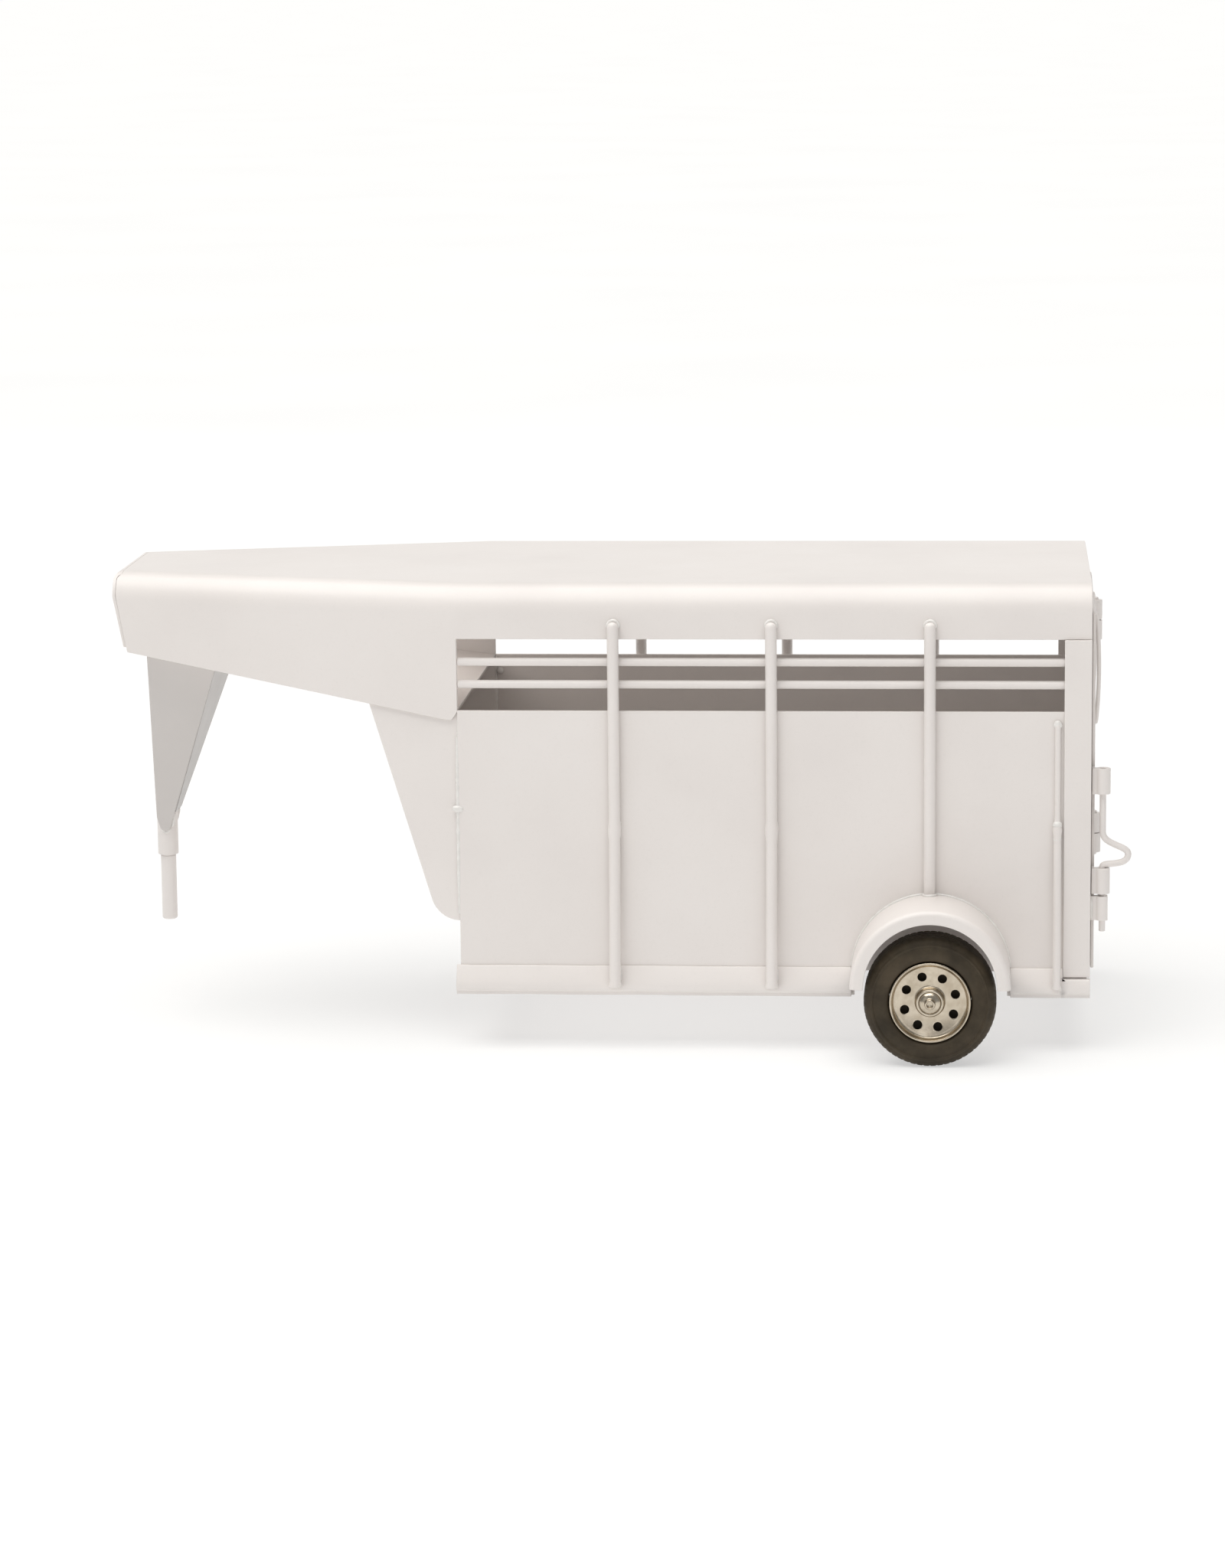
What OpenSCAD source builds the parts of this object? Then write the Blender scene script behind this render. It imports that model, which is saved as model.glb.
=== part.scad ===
// Toy-scale gooseneck livestock trailer in welded sheet steel, in millimetres.
// +X points to the rear gate, -X to the gooseneck, +Z up. The origin is on the ground,
// at the middle of the whole model's length and width.

/* [Cargo box] */
// Length of the cargo box, from its front wall to its rear posts
box_len = 241; // [236:1:250]
// X of the cargo box's front edge
box_front = -59.5; // [-62:0.5:-57]
// Width of the cargo box over the side panels
box_w = 146; // [144:1:150]
// Height of the roof's top face above the ground
roof_top = 179.2; // [176:0.1:184]
// Outer radius of the bend between the roof and its side bands
eave_r = 11; // [8:0.5:12]
// Height of the lower edge of the roof's side bands
band_bottom = 158.7; // [157:0.1:160]
// Height of the top edge of the side panels
panel_top = 131.2; // [129:0.1:133]
// Thickness of the sheet steel
sheet = 1.2; // [1:0.1:1.4]

/* [Floor and base rails] */
// Height of the floor's top face
floor_top = 32; // [31.6:0.1:33]
// Height of the base rails' lower edge
rail_bottom = 21.2; // [20:0.1:22]
// How far the base rails flare out beyond the side panels
rail_flare = 4.1; // [3:0.1:4.1]

/* [Side rods and window bars] */
// Radius of the upright rods on the sides
rod_r = 2.2; // [1.8:0.1:2.2]
// Distance between upright rods
rod_pitch = 60; // [58:0.5:61]
// Height of the upright rods' tops
rod_top = 163.4; // [161:0.1:165]
// Height where the upright rods start to lean out over the base rail
rod_bend = 85; // [70:1:100]
// Radius of the rods across the window openings
bar_r = 1.6; // [1.2:0.1:1.6]
// Height of the lower window bar
bar_low = 141.2; // [138:0.1:143]
// Height of the upper window bar
bar_high = 149.8; // [147:0.1:152]

/* [Gooseneck] */
// X of the gooseneck's foremost edge
nose_front = -197.8; // [-199:0.1:-196]
// Radius of the bend between the gooseneck's roof and its front plate
nose_round = 3; // [2:0.5:5]
// Half the gooseneck's width at its foremost edge
nose_half = 37.5; // [35:0.5:42]
// Height of the gooseneck's lower edge where it meets the cargo box
nose_low_rear = 126.6; // [125:0.1:128]
// Height of the gooseneck's lower edge at its front
nose_low_front = 149.2; // [147:0.1:151]
// How far the front plate leans back over its height
nose_rake = 3.9; // [3:0.1:5]

/* [Coupler] */
// X of the coupler tube and king pin
coupler_x = -185; // [-187:0.5:-184]
// Outer radius of the coupler tube
tube_r = 4.1; // [3.9:0.1:4.1]
// Radius of the king pin
pin_r = 3.05; // [2.8:0.05:3.1]
// Height of the king pin's lower end
pin_bottom = 34.5; // [32:0.5:37]
// Height of the coupler tube's lower end
tube_bottom = 61; // [59:0.5:63]

/* [Wheels and fenders] */
// X of the axle
axle_x = 121; // [120:0.5:122]
// Radius of the tyres, which is also the height of the axle
tyre_r = 25; // [24:0.1:25]
// Width of the tyres
tyre_w = 18; // [17:0.5:18]
// Outer radius of the rims
rim_r = 15.45; // [14:0.05:15.5]
// Radius of the axle
axle_r = 2.5; // [2:0.1:2.5]
// How far the fenders stand out from the side panels
fender_out = 33; // [32:0.5:34]
// Outer radius of the fenders' arch
fender_r = 30.3; // [30:0.1:31]
// Width of the fenders' outer face
fender_lip = 5.1; // [4:0.1:5.3]
// Height of the fenders' lower edge and of the arch's centre
fender_z = 30.4; // [30:0.1:31]

/* [Gate, hinges and latch] */
// Half the width of the gate's sheet
gate_half = 66; // [64:0.5:66]
// Height of the gate's lower edge
gate_bottom = 31; // [30:0.1:33]
// Height of the gate's upper edge
gate_top = 168; // [164:0.1:170]
// Radius of the hinge pins and of the latch bolt
bolt_r = 1.25; // [1:0.05:1.3]
// Outer radius of the hinge knuckles and latch guides
sleeve_r = 2.85; // [2.7:0.05:2.85]
// Clear distance from a turning or sliding rod to its hole
running_gap = 0.05; // [0.02:0.01:0.1]
// How far the latch bolt's handle stands out, measured at its outer side
handle_x = 197; // [196:0.1:198]

/* [Hidden] */
$fn = 64;

PAINT = [0.93, 0.92, 0.90];
TYRE = [0.17, 0.15, 0.14];
CHROME = [0.80, 0.78, 0.72];
STEEL = [0.62, 0.62, 0.63];

side_y = box_w / 2;
inner_y = side_y - sheet;
box_rear = box_front + box_len;
floor_bottom = floor_top - sheet;
rail_top = floor_top + 0.3;
rail_front = box_front - 1.5;
post_front = box_rear - 10.3;
post_bottom = 28.9;
wheel_bay = fender_r;
arch_cut = fender_r - sheet;

// Side rods: their upright part touches the panel, their foot rests on the rail's flare
rod_y = side_y + rod_r;
foot_z = rail_bottom + 3.6;
rear_rod_r = 1.5;
rear_rod_x = post_front - 2.4;
rear_rod_top = 126.8;
rear_rod_bend = 87;
bar_y = side_y - bar_r;

// Gooseneck plan taper and side outline
nose_len = box_front - nose_front;
taper = atan((side_y - nose_half) / nose_len);
nose_slope = (nose_low_front - nose_low_rear) / nose_len;
front_knee = roof_top - 9;
nose_floor_lift = 4.6;
wing_inset = sheet + 0.05;

// Front wall: a slope, a rounded knee and a short ledge back to the cargo box
wall_ledge = 49.2;
wall_knee_r = 11;
wall_lean = atan(0.316);
wall_knee_x = box_front - 8.8;

// Coupler: an inverted pyramid of three plates
neck_tip = 71;
neck_spread = 0.357;
neck_half = tube_r + 0.05;
neck_front = coupler_x - 3;
neck_slope = 0.3415;
web_bottom = 79;
neck_top = 156;
neck_lap = 1.9;
shank_r = pin_r - 0.2;
shank_lap = 14;
pin_shoulder = tube_bottom - 0.6;
pin_chamfer = 0.6;

// Wheels, along the axle from the tyre's inner face outwards
tyre_in = side_y + 12.5;
disc_at = 14.2;
disc_t = 1.2;
hub_r = 4.9;
hub_len = 17.6;
nut_r = 3.7;
nut_len = 1.5;
collar_r = 5;
collar_len = 1.6;
bracket_y = 50;
bracket_t = 3;
bracket_top = 14;
bracket_foot = 5;
bracket_drop = 4;
cavity_r = 4.05;
cap_len = 3;
hole_ring = 10;
hole_r = 1.75;
holes = 8;
hole_turn = 17.4;

// Gate plane and its hardware
gate_gap = 0.3;
gate_x = box_rear + gate_gap;
gate_back = gate_x + sheet;
pivot_x = gate_back + sleeve_r + 0.15;
window_half = 56;
hinge_y = side_y - 3;
latch_y = -(side_y - 3);
upright_r = 1.1;
upright_low = 126;
upright_top = 162;
upright_inset = 3.5;
upper_guide = 99.4;
lower_guide = 60.9;
guide_len = 9.9;
keeper_at = 50.7;
keeper_len = 9.3;
keeper_r = 2.65;
mouth = 3.2;
bolt_bottom = 46.2;
bolt_top = 108.9;
handle_low = lower_guide + guide_len + 0.4;
handle_high = 84.7;
handle_mid = 76.2;
hinge_low = 50;
hinge_high = 138;
knuckle_len = 8;
tab_t = 2.8;
pin_lap = 1;

// Half the gooseneck's width at x, inside its outer face by inset
function half_at(x, inset = 0) =
    side_y - (box_front - x) * tan(taper) - inset / cos(taper);

// Height of the gooseneck's lower edge at x
function nose_low(x) = nose_low_rear + (box_front - x) * nose_slope;

// Points along an arc, from angle a0 to a1
function arc(cx, cy, r, a0, a1, n = 8) =
    [for (i = [0:n]) let (a = a0 + (a1 - a0) * i / n) [cx + r * cos(a), cy + r * sin(a)]];

// Section of a sheet bent once: a leg down by drop and a leg inwards by reach
module bent_section(drop, reach, r, t = sheet) {
    translate([0, -drop]) square([t, drop - r]);
    intersection() {
        translate([r, -r]) difference() {
            circle(r);
            circle(r - t);
        }
        translate([0, -r]) square([r, r]);
    }
    translate([r, -t]) square([reach - r, t]);
}

// Turns a section drawn in Y and Z into a bar along +X
module along_x(len) {
    rotate([90, 0, 90]) linear_extrude(len) children();
}

// Turns an outline drawn in X and Z into a slab across the trailer
module across_y(half) {
    translate([0, half, 0]) rotate([90, 0, 0]) linear_extrude(2 * half) children();
}

// Copies a left-hand part to the right-hand side
module right_side() {
    mirror([0, 1, 0]) children();
}

// ---- Floor, rails and sills ----

module floor_plate() {
    color(PAINT) translate([box_front + sheet, -inner_y, floor_bottom])
        cube([box_len - 2 * sheet, 2 * inner_y, sheet]);
}

module rail_section() {
    polygon([
        [-side_y, rail_bottom], [-side_y - 1.4, rail_bottom], [-side_y - rail_flare + 0.6, rail_bottom + 0.9],
        [-side_y - rail_flare, rail_bottom + 3], [-side_y - rail_flare + 0.1, rail_bottom + 4.6],
        [-side_y - 0.8, rail_top], [-side_y, rail_top]
    ]);
}

module base_rail() {
    front_len = axle_x - wheel_bay - rail_front;
    rear_from = axle_x + wheel_bay;
    translate([rail_front, 0, 0]) along_x(front_len) rail_section();
    translate([rear_from, 0, 0]) along_x(post_front - 0.1 - rear_from) rail_section();
    // Under the rear post only the rail's lower half carries on
    intersection() {
        translate([post_front - 0.1, 0, 0]) along_x(box_rear - post_front + 0.1) rail_section();
        translate([post_front - 1, -box_w, 0]) cube([30, box_w, post_bottom - 0.5]);
    }
}

module left_base_rail() {
    color(PAINT) base_rail();
}

module right_base_rail() {
    color(PAINT) right_side() base_rail();
}

// A cross member under the floor, len long
module sill(x, len) {
    translate([x, -inner_y, rail_bottom + 1]) cube([len, 2 * inner_y, floor_bottom - rail_bottom - 1]);
}

module front_sill() {
    color(PAINT) sill(box_front + sheet, 4);
}

module rear_sill() {
    color(PAINT) sill(box_rear - sheet - 4, 4);
}

// ---- Walls ----

module side_panel() {
    difference() {
        translate([box_front, -side_y, rail_bottom]) cube([box_len - sheet, sheet, panel_top - rail_bottom]);
        translate([axle_x - arch_cut, -side_y - 1, 0]) cube([2 * arch_cut, sheet + 2, floor_bottom]);
    }
}

module left_side_panel() {
    color(PAINT) side_panel();
}

module right_side_panel() {
    color(PAINT) right_side() side_panel();
}

module lower_front_panel() {
    color(PAINT) translate([box_front, -inner_y, rail_bottom])
        cube([sheet, 2 * inner_y, wall_ledge + sheet - rail_bottom]);
}

// Outline of the front wall's outer face from the ledge up, moved inwards by inset.
// The knee is an arc that is tangent to both the ledge and the slope.
function wall_curve(inset) = let (
        r = wall_knee_r - inset,
        cx = wall_knee_x + wall_knee_r * (1 / cos(wall_lean) - tan(wall_lean)),
        cz = wall_ledge + wall_knee_r,
        top = panel_top + 20,
        slope_x = cx - r * cos(wall_lean) - (top - cz + r * sin(wall_lean)) * tan(wall_lean)
    ) concat(
        [[box_front, wall_ledge + inset]],
        arc(cx, cz, r, 270, 180 + wall_lean),
        [[slope_x, top]]
    );

// Everything under the gooseneck's floor, between box_front and the nose
module under_nose_floor() {
    lift = nose_floor_lift - sheet;
    polygon([
        [box_front, 0], [box_front, nose_low(box_front) + lift],
        [nose_front, nose_low(nose_front) + lift], [nose_front, 0]
    ]);
}

// The gooseneck's inside in plan, as a tall prism
module nose_plan(inset) {
    rear = half_at(box_front, inset);
    front = half_at(nose_front, inset);
    linear_extrude(roof_top)
        polygon([[box_front, -rear], [nose_front, -front], [nose_front, front], [box_front, rear]]);
}

module front_wall() {
    outer = wall_curve(0);
    inner = wall_curve(sheet);
    back = [for (i = [len(inner) - 1:-1:0]) inner[i]];
    color(PAINT) intersection() {
        across_y(side_y) intersection() {
            polygon(concat(outer, back));
            under_nose_floor();
        }
        nose_plan(wing_inset + sheet);
    }
}

module front_wing() {
    intersection() {
        across_y(side_y) intersection() {
            polygon(concat(wall_curve(0), [[box_front, panel_top + 20]]));
            under_nose_floor();
        }
        difference() {
            nose_plan(wing_inset);
            nose_plan(wing_inset + sheet);
            translate([nose_front, 0, -1]) cube([nose_len + 1, side_y, roof_top + 2]);
        }
    }
}

module left_front_wing() {
    color(PAINT) front_wing();
}

module right_front_wing() {
    color(PAINT) right_side() front_wing();
}

// ---- Gooseneck ----

module nose_floor() {
    low = nose_floor_lift - sheet;
    front = nose_front + nose_rake + sheet;
    color(PAINT) intersection() {
        across_y(side_y) polygon([
            [box_front, nose_low(box_front) + low], [box_front, nose_low(box_front) + nose_floor_lift],
            [front, nose_low(front) + nose_floor_lift], [front, nose_low(front) + low]
        ]);
        nose_plan(sheet + 0.02);
    }
}

// Side outline of the gooseneck's front end from its roof down, moved back by inset
function nose_face(inset) = concat(
    arc(nose_front + nose_round, roof_top - nose_round, nose_round - inset, 90, 180, 6),
    [[nose_front + inset, front_knee], [nose_front + nose_rake + inset, nose_low_front + 1]]
);

// Side outline of the gooseneck sheet, which stops behind the front plate
nose_outline = concat(
    [[box_front, roof_top], [nose_front + nose_round, roof_top]],
    nose_face(sheet),
    [[nose_front + nose_rake + sheet + 1, nose_low(nose_front + nose_rake + sheet + 1)]],
    arc(box_front - 4, nose_low(box_front - 4) + 4, 4, 270, 360, 5)
);

// One half of the folded gooseneck sheet, before its ends are trimmed
module nose_half_sheet() {
    intersection() {
        translate([nose_front, -nose_half, roof_top]) rotate([0, 0, -taper]) translate([-8, 0, 0])
            along_x(nose_len + 30) bent_section(60, side_y + 20, eave_r);
        translate([nose_front - 10, -box_w, 0]) cube([nose_len + 10, box_w, roof_top + 1]);
    }
}

module nose_sheet() {
    color(PAINT) intersection() {
        across_y(side_y + 1) polygon(nose_outline);
        union() {
            nose_half_sheet();
            right_side() nose_half_sheet();
        }
    }
}

// The front plate closes the gooseneck, leans back towards its foot and bends into the roof
module nose_front_plate() {
    outer = nose_face(0);
    inner = nose_face(sheet);
    back = [for (i = [len(inner) - 1:-1:0]) inner[i]];
    half = nose_half + 0.2;
    color(PAINT) intersection() {
        across_y(side_y) polygon(concat(outer, back));
        translate([nose_front - 10, 0, 0]) along_x(30) polygon(concat(
            [[-half, 0], [half, 0]],
            arc(half - eave_r, roof_top - eave_r, eave_r, 0, 90),
            arc(-half + eave_r, roof_top - eave_r, eave_r, 90, 180)
        ));
    }
}

// ---- Roof and rear frame ----

module roof_sheet() {
    color(PAINT) {
        translate([box_front, -side_y, roof_top])
            along_x(box_len) bent_section(roof_top - band_bottom, side_y, eave_r);
        right_side() translate([box_front, -side_y, roof_top])
            along_x(box_len) bent_section(roof_top - band_bottom, side_y, eave_r);
    }
}

module rear_header() {
    lap = 0.02;
    r = eave_r - sheet - lap;
    half = inner_y - lap;
    top_z = roof_top - sheet - lap;
    color(PAINT) translate([box_rear - sheet, 0, 0]) along_x(sheet) polygon(concat(
        [[-half, band_bottom], [half, band_bottom]],
        arc(half - r, top_z - r, r, 0, 90),
        arc(-half + r, top_z - r, r, 90, 180)
    ));
}

module rear_post() {
    h = band_bottom - post_bottom;
    translate([post_front, -side_y - sheet, post_bottom]) cube([box_rear - post_front, sheet, h]);
    translate([box_rear - sheet, -side_y, post_bottom]) cube([sheet, 13, h]);
}

module left_rear_post() {
    color(PAINT) rear_post();
}

module right_rear_post() {
    color(PAINT) right_side() rear_post();
}

// ---- Upright rods and window bars ----

// A round bar standing on the origin, h high, with a domed top when dome is true
module domed_bar(h, r, dome = true) {
    rotate_extrude() polygon(concat(
        [[0, 0], [r, 0]], dome ? arc(0, h, r, 0, 90, 6) : [[r, h], [0, h]]
    ));
}

// Keeps the part of its children above (or below) a plane through the origin, tilted by tilt
module mitre(tilt, above) {
    reach = 200;
    intersection() {
        children();
        rotate([tilt, 0, 0]) translate([-reach / 2, -reach / 2, above ? 0 : -reach]) cube(reach);
    }
}

// An upright rod: straight down the panel to bend_z, then leaning out over the rail's flare
module leaning_rod(x, r, top_z, bend_z) {
    drop = bend_z - foot_z;
    lean = atan(rail_flare / drop);
    lap = 2;
    translate([x, -side_y - r, bend_z]) {
        mitre(-lean / 2, true) translate([0, 0, -lap]) domed_bar(top_z - bend_z + lap, r);
        mitre(-lean / 2, false) rotate([180 - lean, 0, 0]) translate([0, 0, -lap])
            cylinder(h = drop / cos(lean) + lap, r = r);
    }
}

module side_rod(i) {
    x = box_front + i * rod_pitch;
    foot = fender_z + fender_r;
    if (i < 3) leaning_rod(x, rod_r, rod_top, rod_bend);
    else translate([x, -rod_y, foot]) domed_bar(rod_top - foot, rod_r);
}

module rear_rod() {
    leaning_rod(rear_rod_x, rear_rod_r, rear_rod_top - rear_rod_r, rear_rod_bend);
}

module left_rod_front() { color(PAINT) side_rod(1); }
module left_rod_middle() { color(PAINT) side_rod(2); }
module left_rod_wheel() { color(PAINT) side_rod(3); }
module left_rod_rear() { color(PAINT) rear_rod(); }
module right_rod_front() { color(PAINT) right_side() side_rod(1); }
module right_rod_middle() { color(PAINT) right_side() side_rod(2); }
module right_rod_wheel() { color(PAINT) right_side() side_rod(3); }
module right_rod_rear() { color(PAINT) right_side() rear_rod(); }

module window_bar(z) {
    translate([box_front + 0.3, -bar_y, z]) rotate([0, 90, 0])
        cylinder(h = box_len - sheet - 0.6, r = bar_r);
}

module left_bar_upper() { color(PAINT) window_bar(bar_high); }
module left_bar_lower() { color(PAINT) window_bar(bar_low); }
module right_bar_upper() { color(PAINT) right_side() window_bar(bar_high); }
module right_bar_lower() { color(PAINT) right_side() window_bar(bar_low); }

// ---- Fenders, axle and wheels ----

module fender() {
    translate([axle_x, -side_y, fender_z]) rotate([90, 0, 0]) rotate_extrude(angle = 180)
        translate([fender_r, fender_out]) mirror([1, 0])
            bent_section(fender_out, fender_lip, 2);
}

module left_fender() {
    color(PAINT) fender();
}

module right_fender() {
    color(PAINT) right_side() fender();
}

// Axle coordinates: the children's +Z runs outwards from the left tyre's inner face
module at_left_wheel() {
    translate([axle_x, -tyre_in, tyre_r]) rotate([90, 0, 0]) children();
}

module ring(r_out, r_in, h) {
    difference() {
        cylinder(h = h, r = r_out);
        translate([0, 0, -1]) cylinder(h = h + 2, r = r_in);
    }
}

module axle() {
    reach = tyre_in + hub_len - 1.2;
    color(STEEL) translate([axle_x, reach, tyre_r]) rotate([90, 0, 0])
        cylinder(h = 2 * reach, r = axle_r);
}

module axle_bracket() {
    foot = tyre_r - bracket_drop;
    translate([axle_x, -bracket_y, 0]) rotate([90, 0, 0]) linear_extrude(bracket_t) difference() {
        polygon([
            [-bracket_top, floor_bottom], [bracket_top, floor_bottom],
            [bracket_foot, foot], [-bracket_foot, foot]
        ]);
        translate([0, tyre_r]) circle(axle_r + running_gap);
    }
}

module axle_brackets() {
    color(PAINT) {
        axle_bracket();
        right_side() axle_bracket();
    }
}

module axle_collar() {
    at_left_wheel() translate([0, 0, 0.2 - collar_len]) ring(collar_r, axle_r + 0.02, collar_len);
}

module axle_collars() {
    color(STEEL) {
        axle_collar();
        right_side() axle_collar();
    }
}

module axle_nut() {
    at_left_wheel() translate([0, 0, disc_at + 0.6]) ring(nut_r, axle_r + 0.02, nut_len);
}

module axle_nuts() {
    color(STEEL) {
        axle_nut();
        right_side() axle_nut();
    }
}

module tyre() {
    shoulder = 3.2;
    side = 1.3;
    at_left_wheel() rotate_extrude() polygon(concat(
        [[rim_r + 0.03, side], [tyre_r - shoulder - 1.5, 0]],
        arc(tyre_r - shoulder, shoulder, shoulder, 270, 360, 5),
        arc(tyre_r - shoulder, tyre_w - shoulder, shoulder, 0, 90, 5),
        [[tyre_r - shoulder - 1.5, tyre_w], [rim_r + 0.03, tyre_w - side]]
    ));
}

module left_tyre() {
    color(TYRE) tyre();
}

module right_tyre() {
    color(TYRE) right_side() tyre();
}

module rim() {
    well = rim_r - 1.25;
    at_left_wheel() difference() {
        rotate_extrude() polygon([
            [axle_r + running_gap, 0.7], [hub_r, 0.7], [hub_r, disc_at], [well, disc_at], [well, 0.5],
            [rim_r, 0.5], [rim_r, tyre_w - 0.6], [rim_r - 1, tyre_w - 0.6], [well, disc_at + disc_t],
            [hub_r, disc_at + disc_t], [hub_r, hub_len], [cavity_r, hub_len],
            [cavity_r, disc_at + 0.4], [axle_r + running_gap, disc_at + 0.4]
        ]);
        for (i = [0:holes - 1]) rotate([0, 0, hole_turn + i * 360 / holes])
            translate([hole_ring, 0, disc_at - 1]) cylinder(h = disc_t + 2, r = hole_r);
    }
}

module left_rim() {
    color(CHROME) rim();
}

module right_rim() {
    color(CHROME) right_side() rim();
}

module hub_cap() {
    at_left_wheel() translate([0, 0, hub_len]) rotate_extrude() polygon(concat(
        [[0, 0], [hub_r, 0], [hub_r, 0.6]],
        arc(hub_r - 1.6, 0.6, 1.6, 0, 80, 4),
        [[2.2, 2.3], [1.9, cap_len], [0, cap_len]]
    ));
}

module left_hub_cap() {
    color(CHROME) hub_cap();
}

module right_hub_cap() {
    color(CHROME) right_side() hub_cap();
}

// ---- Coupler ----

// Side outline of the coupler's side plates, open at the top where the nose floor trims it
module neck_outline() {
    rear_x = coupler_x + neck_lap;
    polygon(concat(
        [[neck_front + 2.5, neck_top], [neck_front, neck_tip + 6]],
        arc(coupler_x + 0.1, neck_tip + 2.2, 2.2, 200, 320, 6),
        [[rear_x + (neck_top - neck_tip) * neck_slope, neck_top]]
    ));
}

module neck_plate() {
    lean = atan(neck_spread);
    intersection() {
        translate([neck_front - 10, -neck_half, neck_tip]) rotate([lean, 0, 0])
            translate([0, -sheet, -20]) cube([80, sheet, 140]);
        across_y(side_y) intersection() {
            neck_outline();
            under_nose_floor();
        }
    }
}

module coupler_left_plate() {
    color(PAINT) neck_plate();
}

module coupler_right_plate() {
    color(PAINT) right_side() neck_plate();
}

// The rear plate closes the pyramid between the two side plates
module coupler_rear_plate() {
    foot_x = coupler_x + neck_lap + (web_bottom - neck_tip) * neck_slope;
    top_x = coupler_x + neck_lap + (neck_top - neck_tip) * neck_slope;
    foot_half = neck_half + (web_bottom - neck_tip) * neck_spread - 0.02;
    top_half = neck_half + (neck_top - neck_tip) * neck_spread - 0.02;
    color(PAINT) intersection() {
        across_y(side_y) intersection() {
            polygon([
                [foot_x - sheet, web_bottom], [foot_x, web_bottom], [top_x, neck_top], [top_x - sheet, neck_top]
            ]);
            under_nose_floor();
        }
        translate([nose_front, 0, 0]) along_x(nose_len) polygon([
            [-foot_half, web_bottom], [foot_half, web_bottom], [top_half, neck_top], [-top_half, neck_top]
        ]);
    }
}

module coupler_tube() {
    color(PAINT) translate([coupler_x, 0, tube_bottom])
        ring(tube_r, shank_r + 0.03, web_bottom - 0.1 - tube_bottom);
}

// The pin's shank is a little thinner than the pin, and is pressed up into the tube
module king_pin() {
    color(PAINT) translate([coupler_x, 0, 0]) rotate_extrude() polygon([
        [0, pin_bottom], [pin_r - pin_chamfer, pin_bottom], [pin_r, pin_bottom + pin_chamfer],
        [pin_r, pin_shoulder], [shank_r, pin_shoulder], [shank_r, tube_bottom + shank_lap],
        [0, tube_bottom + shank_lap]
    ]);
}

// ---- Gate hinges ----

// A sleeve on the frame with a foot on the rear post
module frame_knuckle(z) {
    difference() {
        union() {
            translate([pivot_x, hinge_y, z]) cylinder(h = knuckle_len, r = sleeve_r);
            translate([box_rear, hinge_y - tab_t / 2, z]) cube([pivot_x - box_rear, tab_t, knuckle_len]);
        }
        translate([pivot_x, hinge_y, z - 1]) cylinder(h = knuckle_len + 2, r = bolt_r + running_gap);
    }
}

// A sleeve on the gate with a tab that reaches from the gate's edge
module gate_knuckle(z) {
    difference() {
        union() {
            translate([pivot_x, hinge_y, z]) cylinder(h = knuckle_len, r = sleeve_r);
            translate([gate_x, gate_half, z]) cube([sheet, hinge_y - gate_half, knuckle_len]);
            translate([gate_x, hinge_y - 2.4, z]) cube([pivot_x - gate_x, 2.4, knuckle_len]);
        }
        translate([pivot_x, hinge_y, z - 1]) cylinder(h = knuckle_len + 2, r = bolt_r + running_gap);
    }
}

module frame_knuckles() {
    color(PAINT) for (z = [hinge_low, hinge_high]) frame_knuckle(z);
}

module gate_knuckles() {
    color(PAINT) for (z = [hinge_low, hinge_high]) gate_knuckle(z + knuckle_len + gate_gap);
}

module hinge_pins() {
    color(PAINT) for (z = [hinge_low, hinge_high])
        translate([pivot_x, hinge_y, z - pin_lap])
            cylinder(h = 2 * (knuckle_len + pin_lap) + gate_gap, r = bolt_r);
}

// ---- Gate ----

module gate_panel() {
    color(PAINT) difference() {
        translate([gate_x, -gate_half, gate_bottom])
            cube([sheet, 2 * gate_half, gate_top - gate_bottom]);
        translate([gate_x - 1, -window_half, panel_top])
            cube([sheet + 2, 2 * window_half, band_bottom - panel_top]);
    }
}

module gate_bar(z) {
    translate([gate_back - bar_r, window_half, z]) rotate([90, 0, 0])
        cylinder(h = 2 * window_half, r = bar_r);
}

module gate_bar_upper() { color(PAINT) gate_bar(bar_high); }
module gate_bar_lower() { color(PAINT) gate_bar(bar_low); }

// Three short uprights stand on the gate's outer face, beside its window and across it
module gate_uprights() {
    beside = window_half + upright_inset;
    color(PAINT) for (y = [-beside, 0, beside])
        translate([gate_back + upright_r, y, upright_low]) domed_bar(upright_top - upright_low, upright_r);
}

// ---- Latch ----

// A sleeve for the sliding bolt, on a tab that reaches from the gate's edge
module latch_guide(z) {
    difference() {
        union() {
            translate([pivot_x, latch_y, z]) cylinder(h = guide_len, r = sleeve_r);
            translate([gate_x, latch_y - 1.6, z]) cube([sheet, -gate_half - latch_y + 1.6, guide_len]);
            translate([gate_x, latch_y - 1.6, z]) cube([pivot_x - gate_x, 3.2, guide_len]);
        }
        translate([pivot_x, latch_y, z - 1]) cylinder(h = guide_len + 2, r = bolt_r + running_gap);
    }
}

module latch_guides() {
    color(PAINT) for (z = [lower_guide, upper_guide]) latch_guide(z);
}

// Cubic curve through p[0] and p[3] with handles p[1] and p[2]
function cubic(p, t) =
    pow(1 - t, 3) * p[0] + 3 * t * pow(1 - t, 2) * p[1] + 3 * t * t * (1 - t) * p[2] + pow(t, 3) * p[3];

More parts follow.
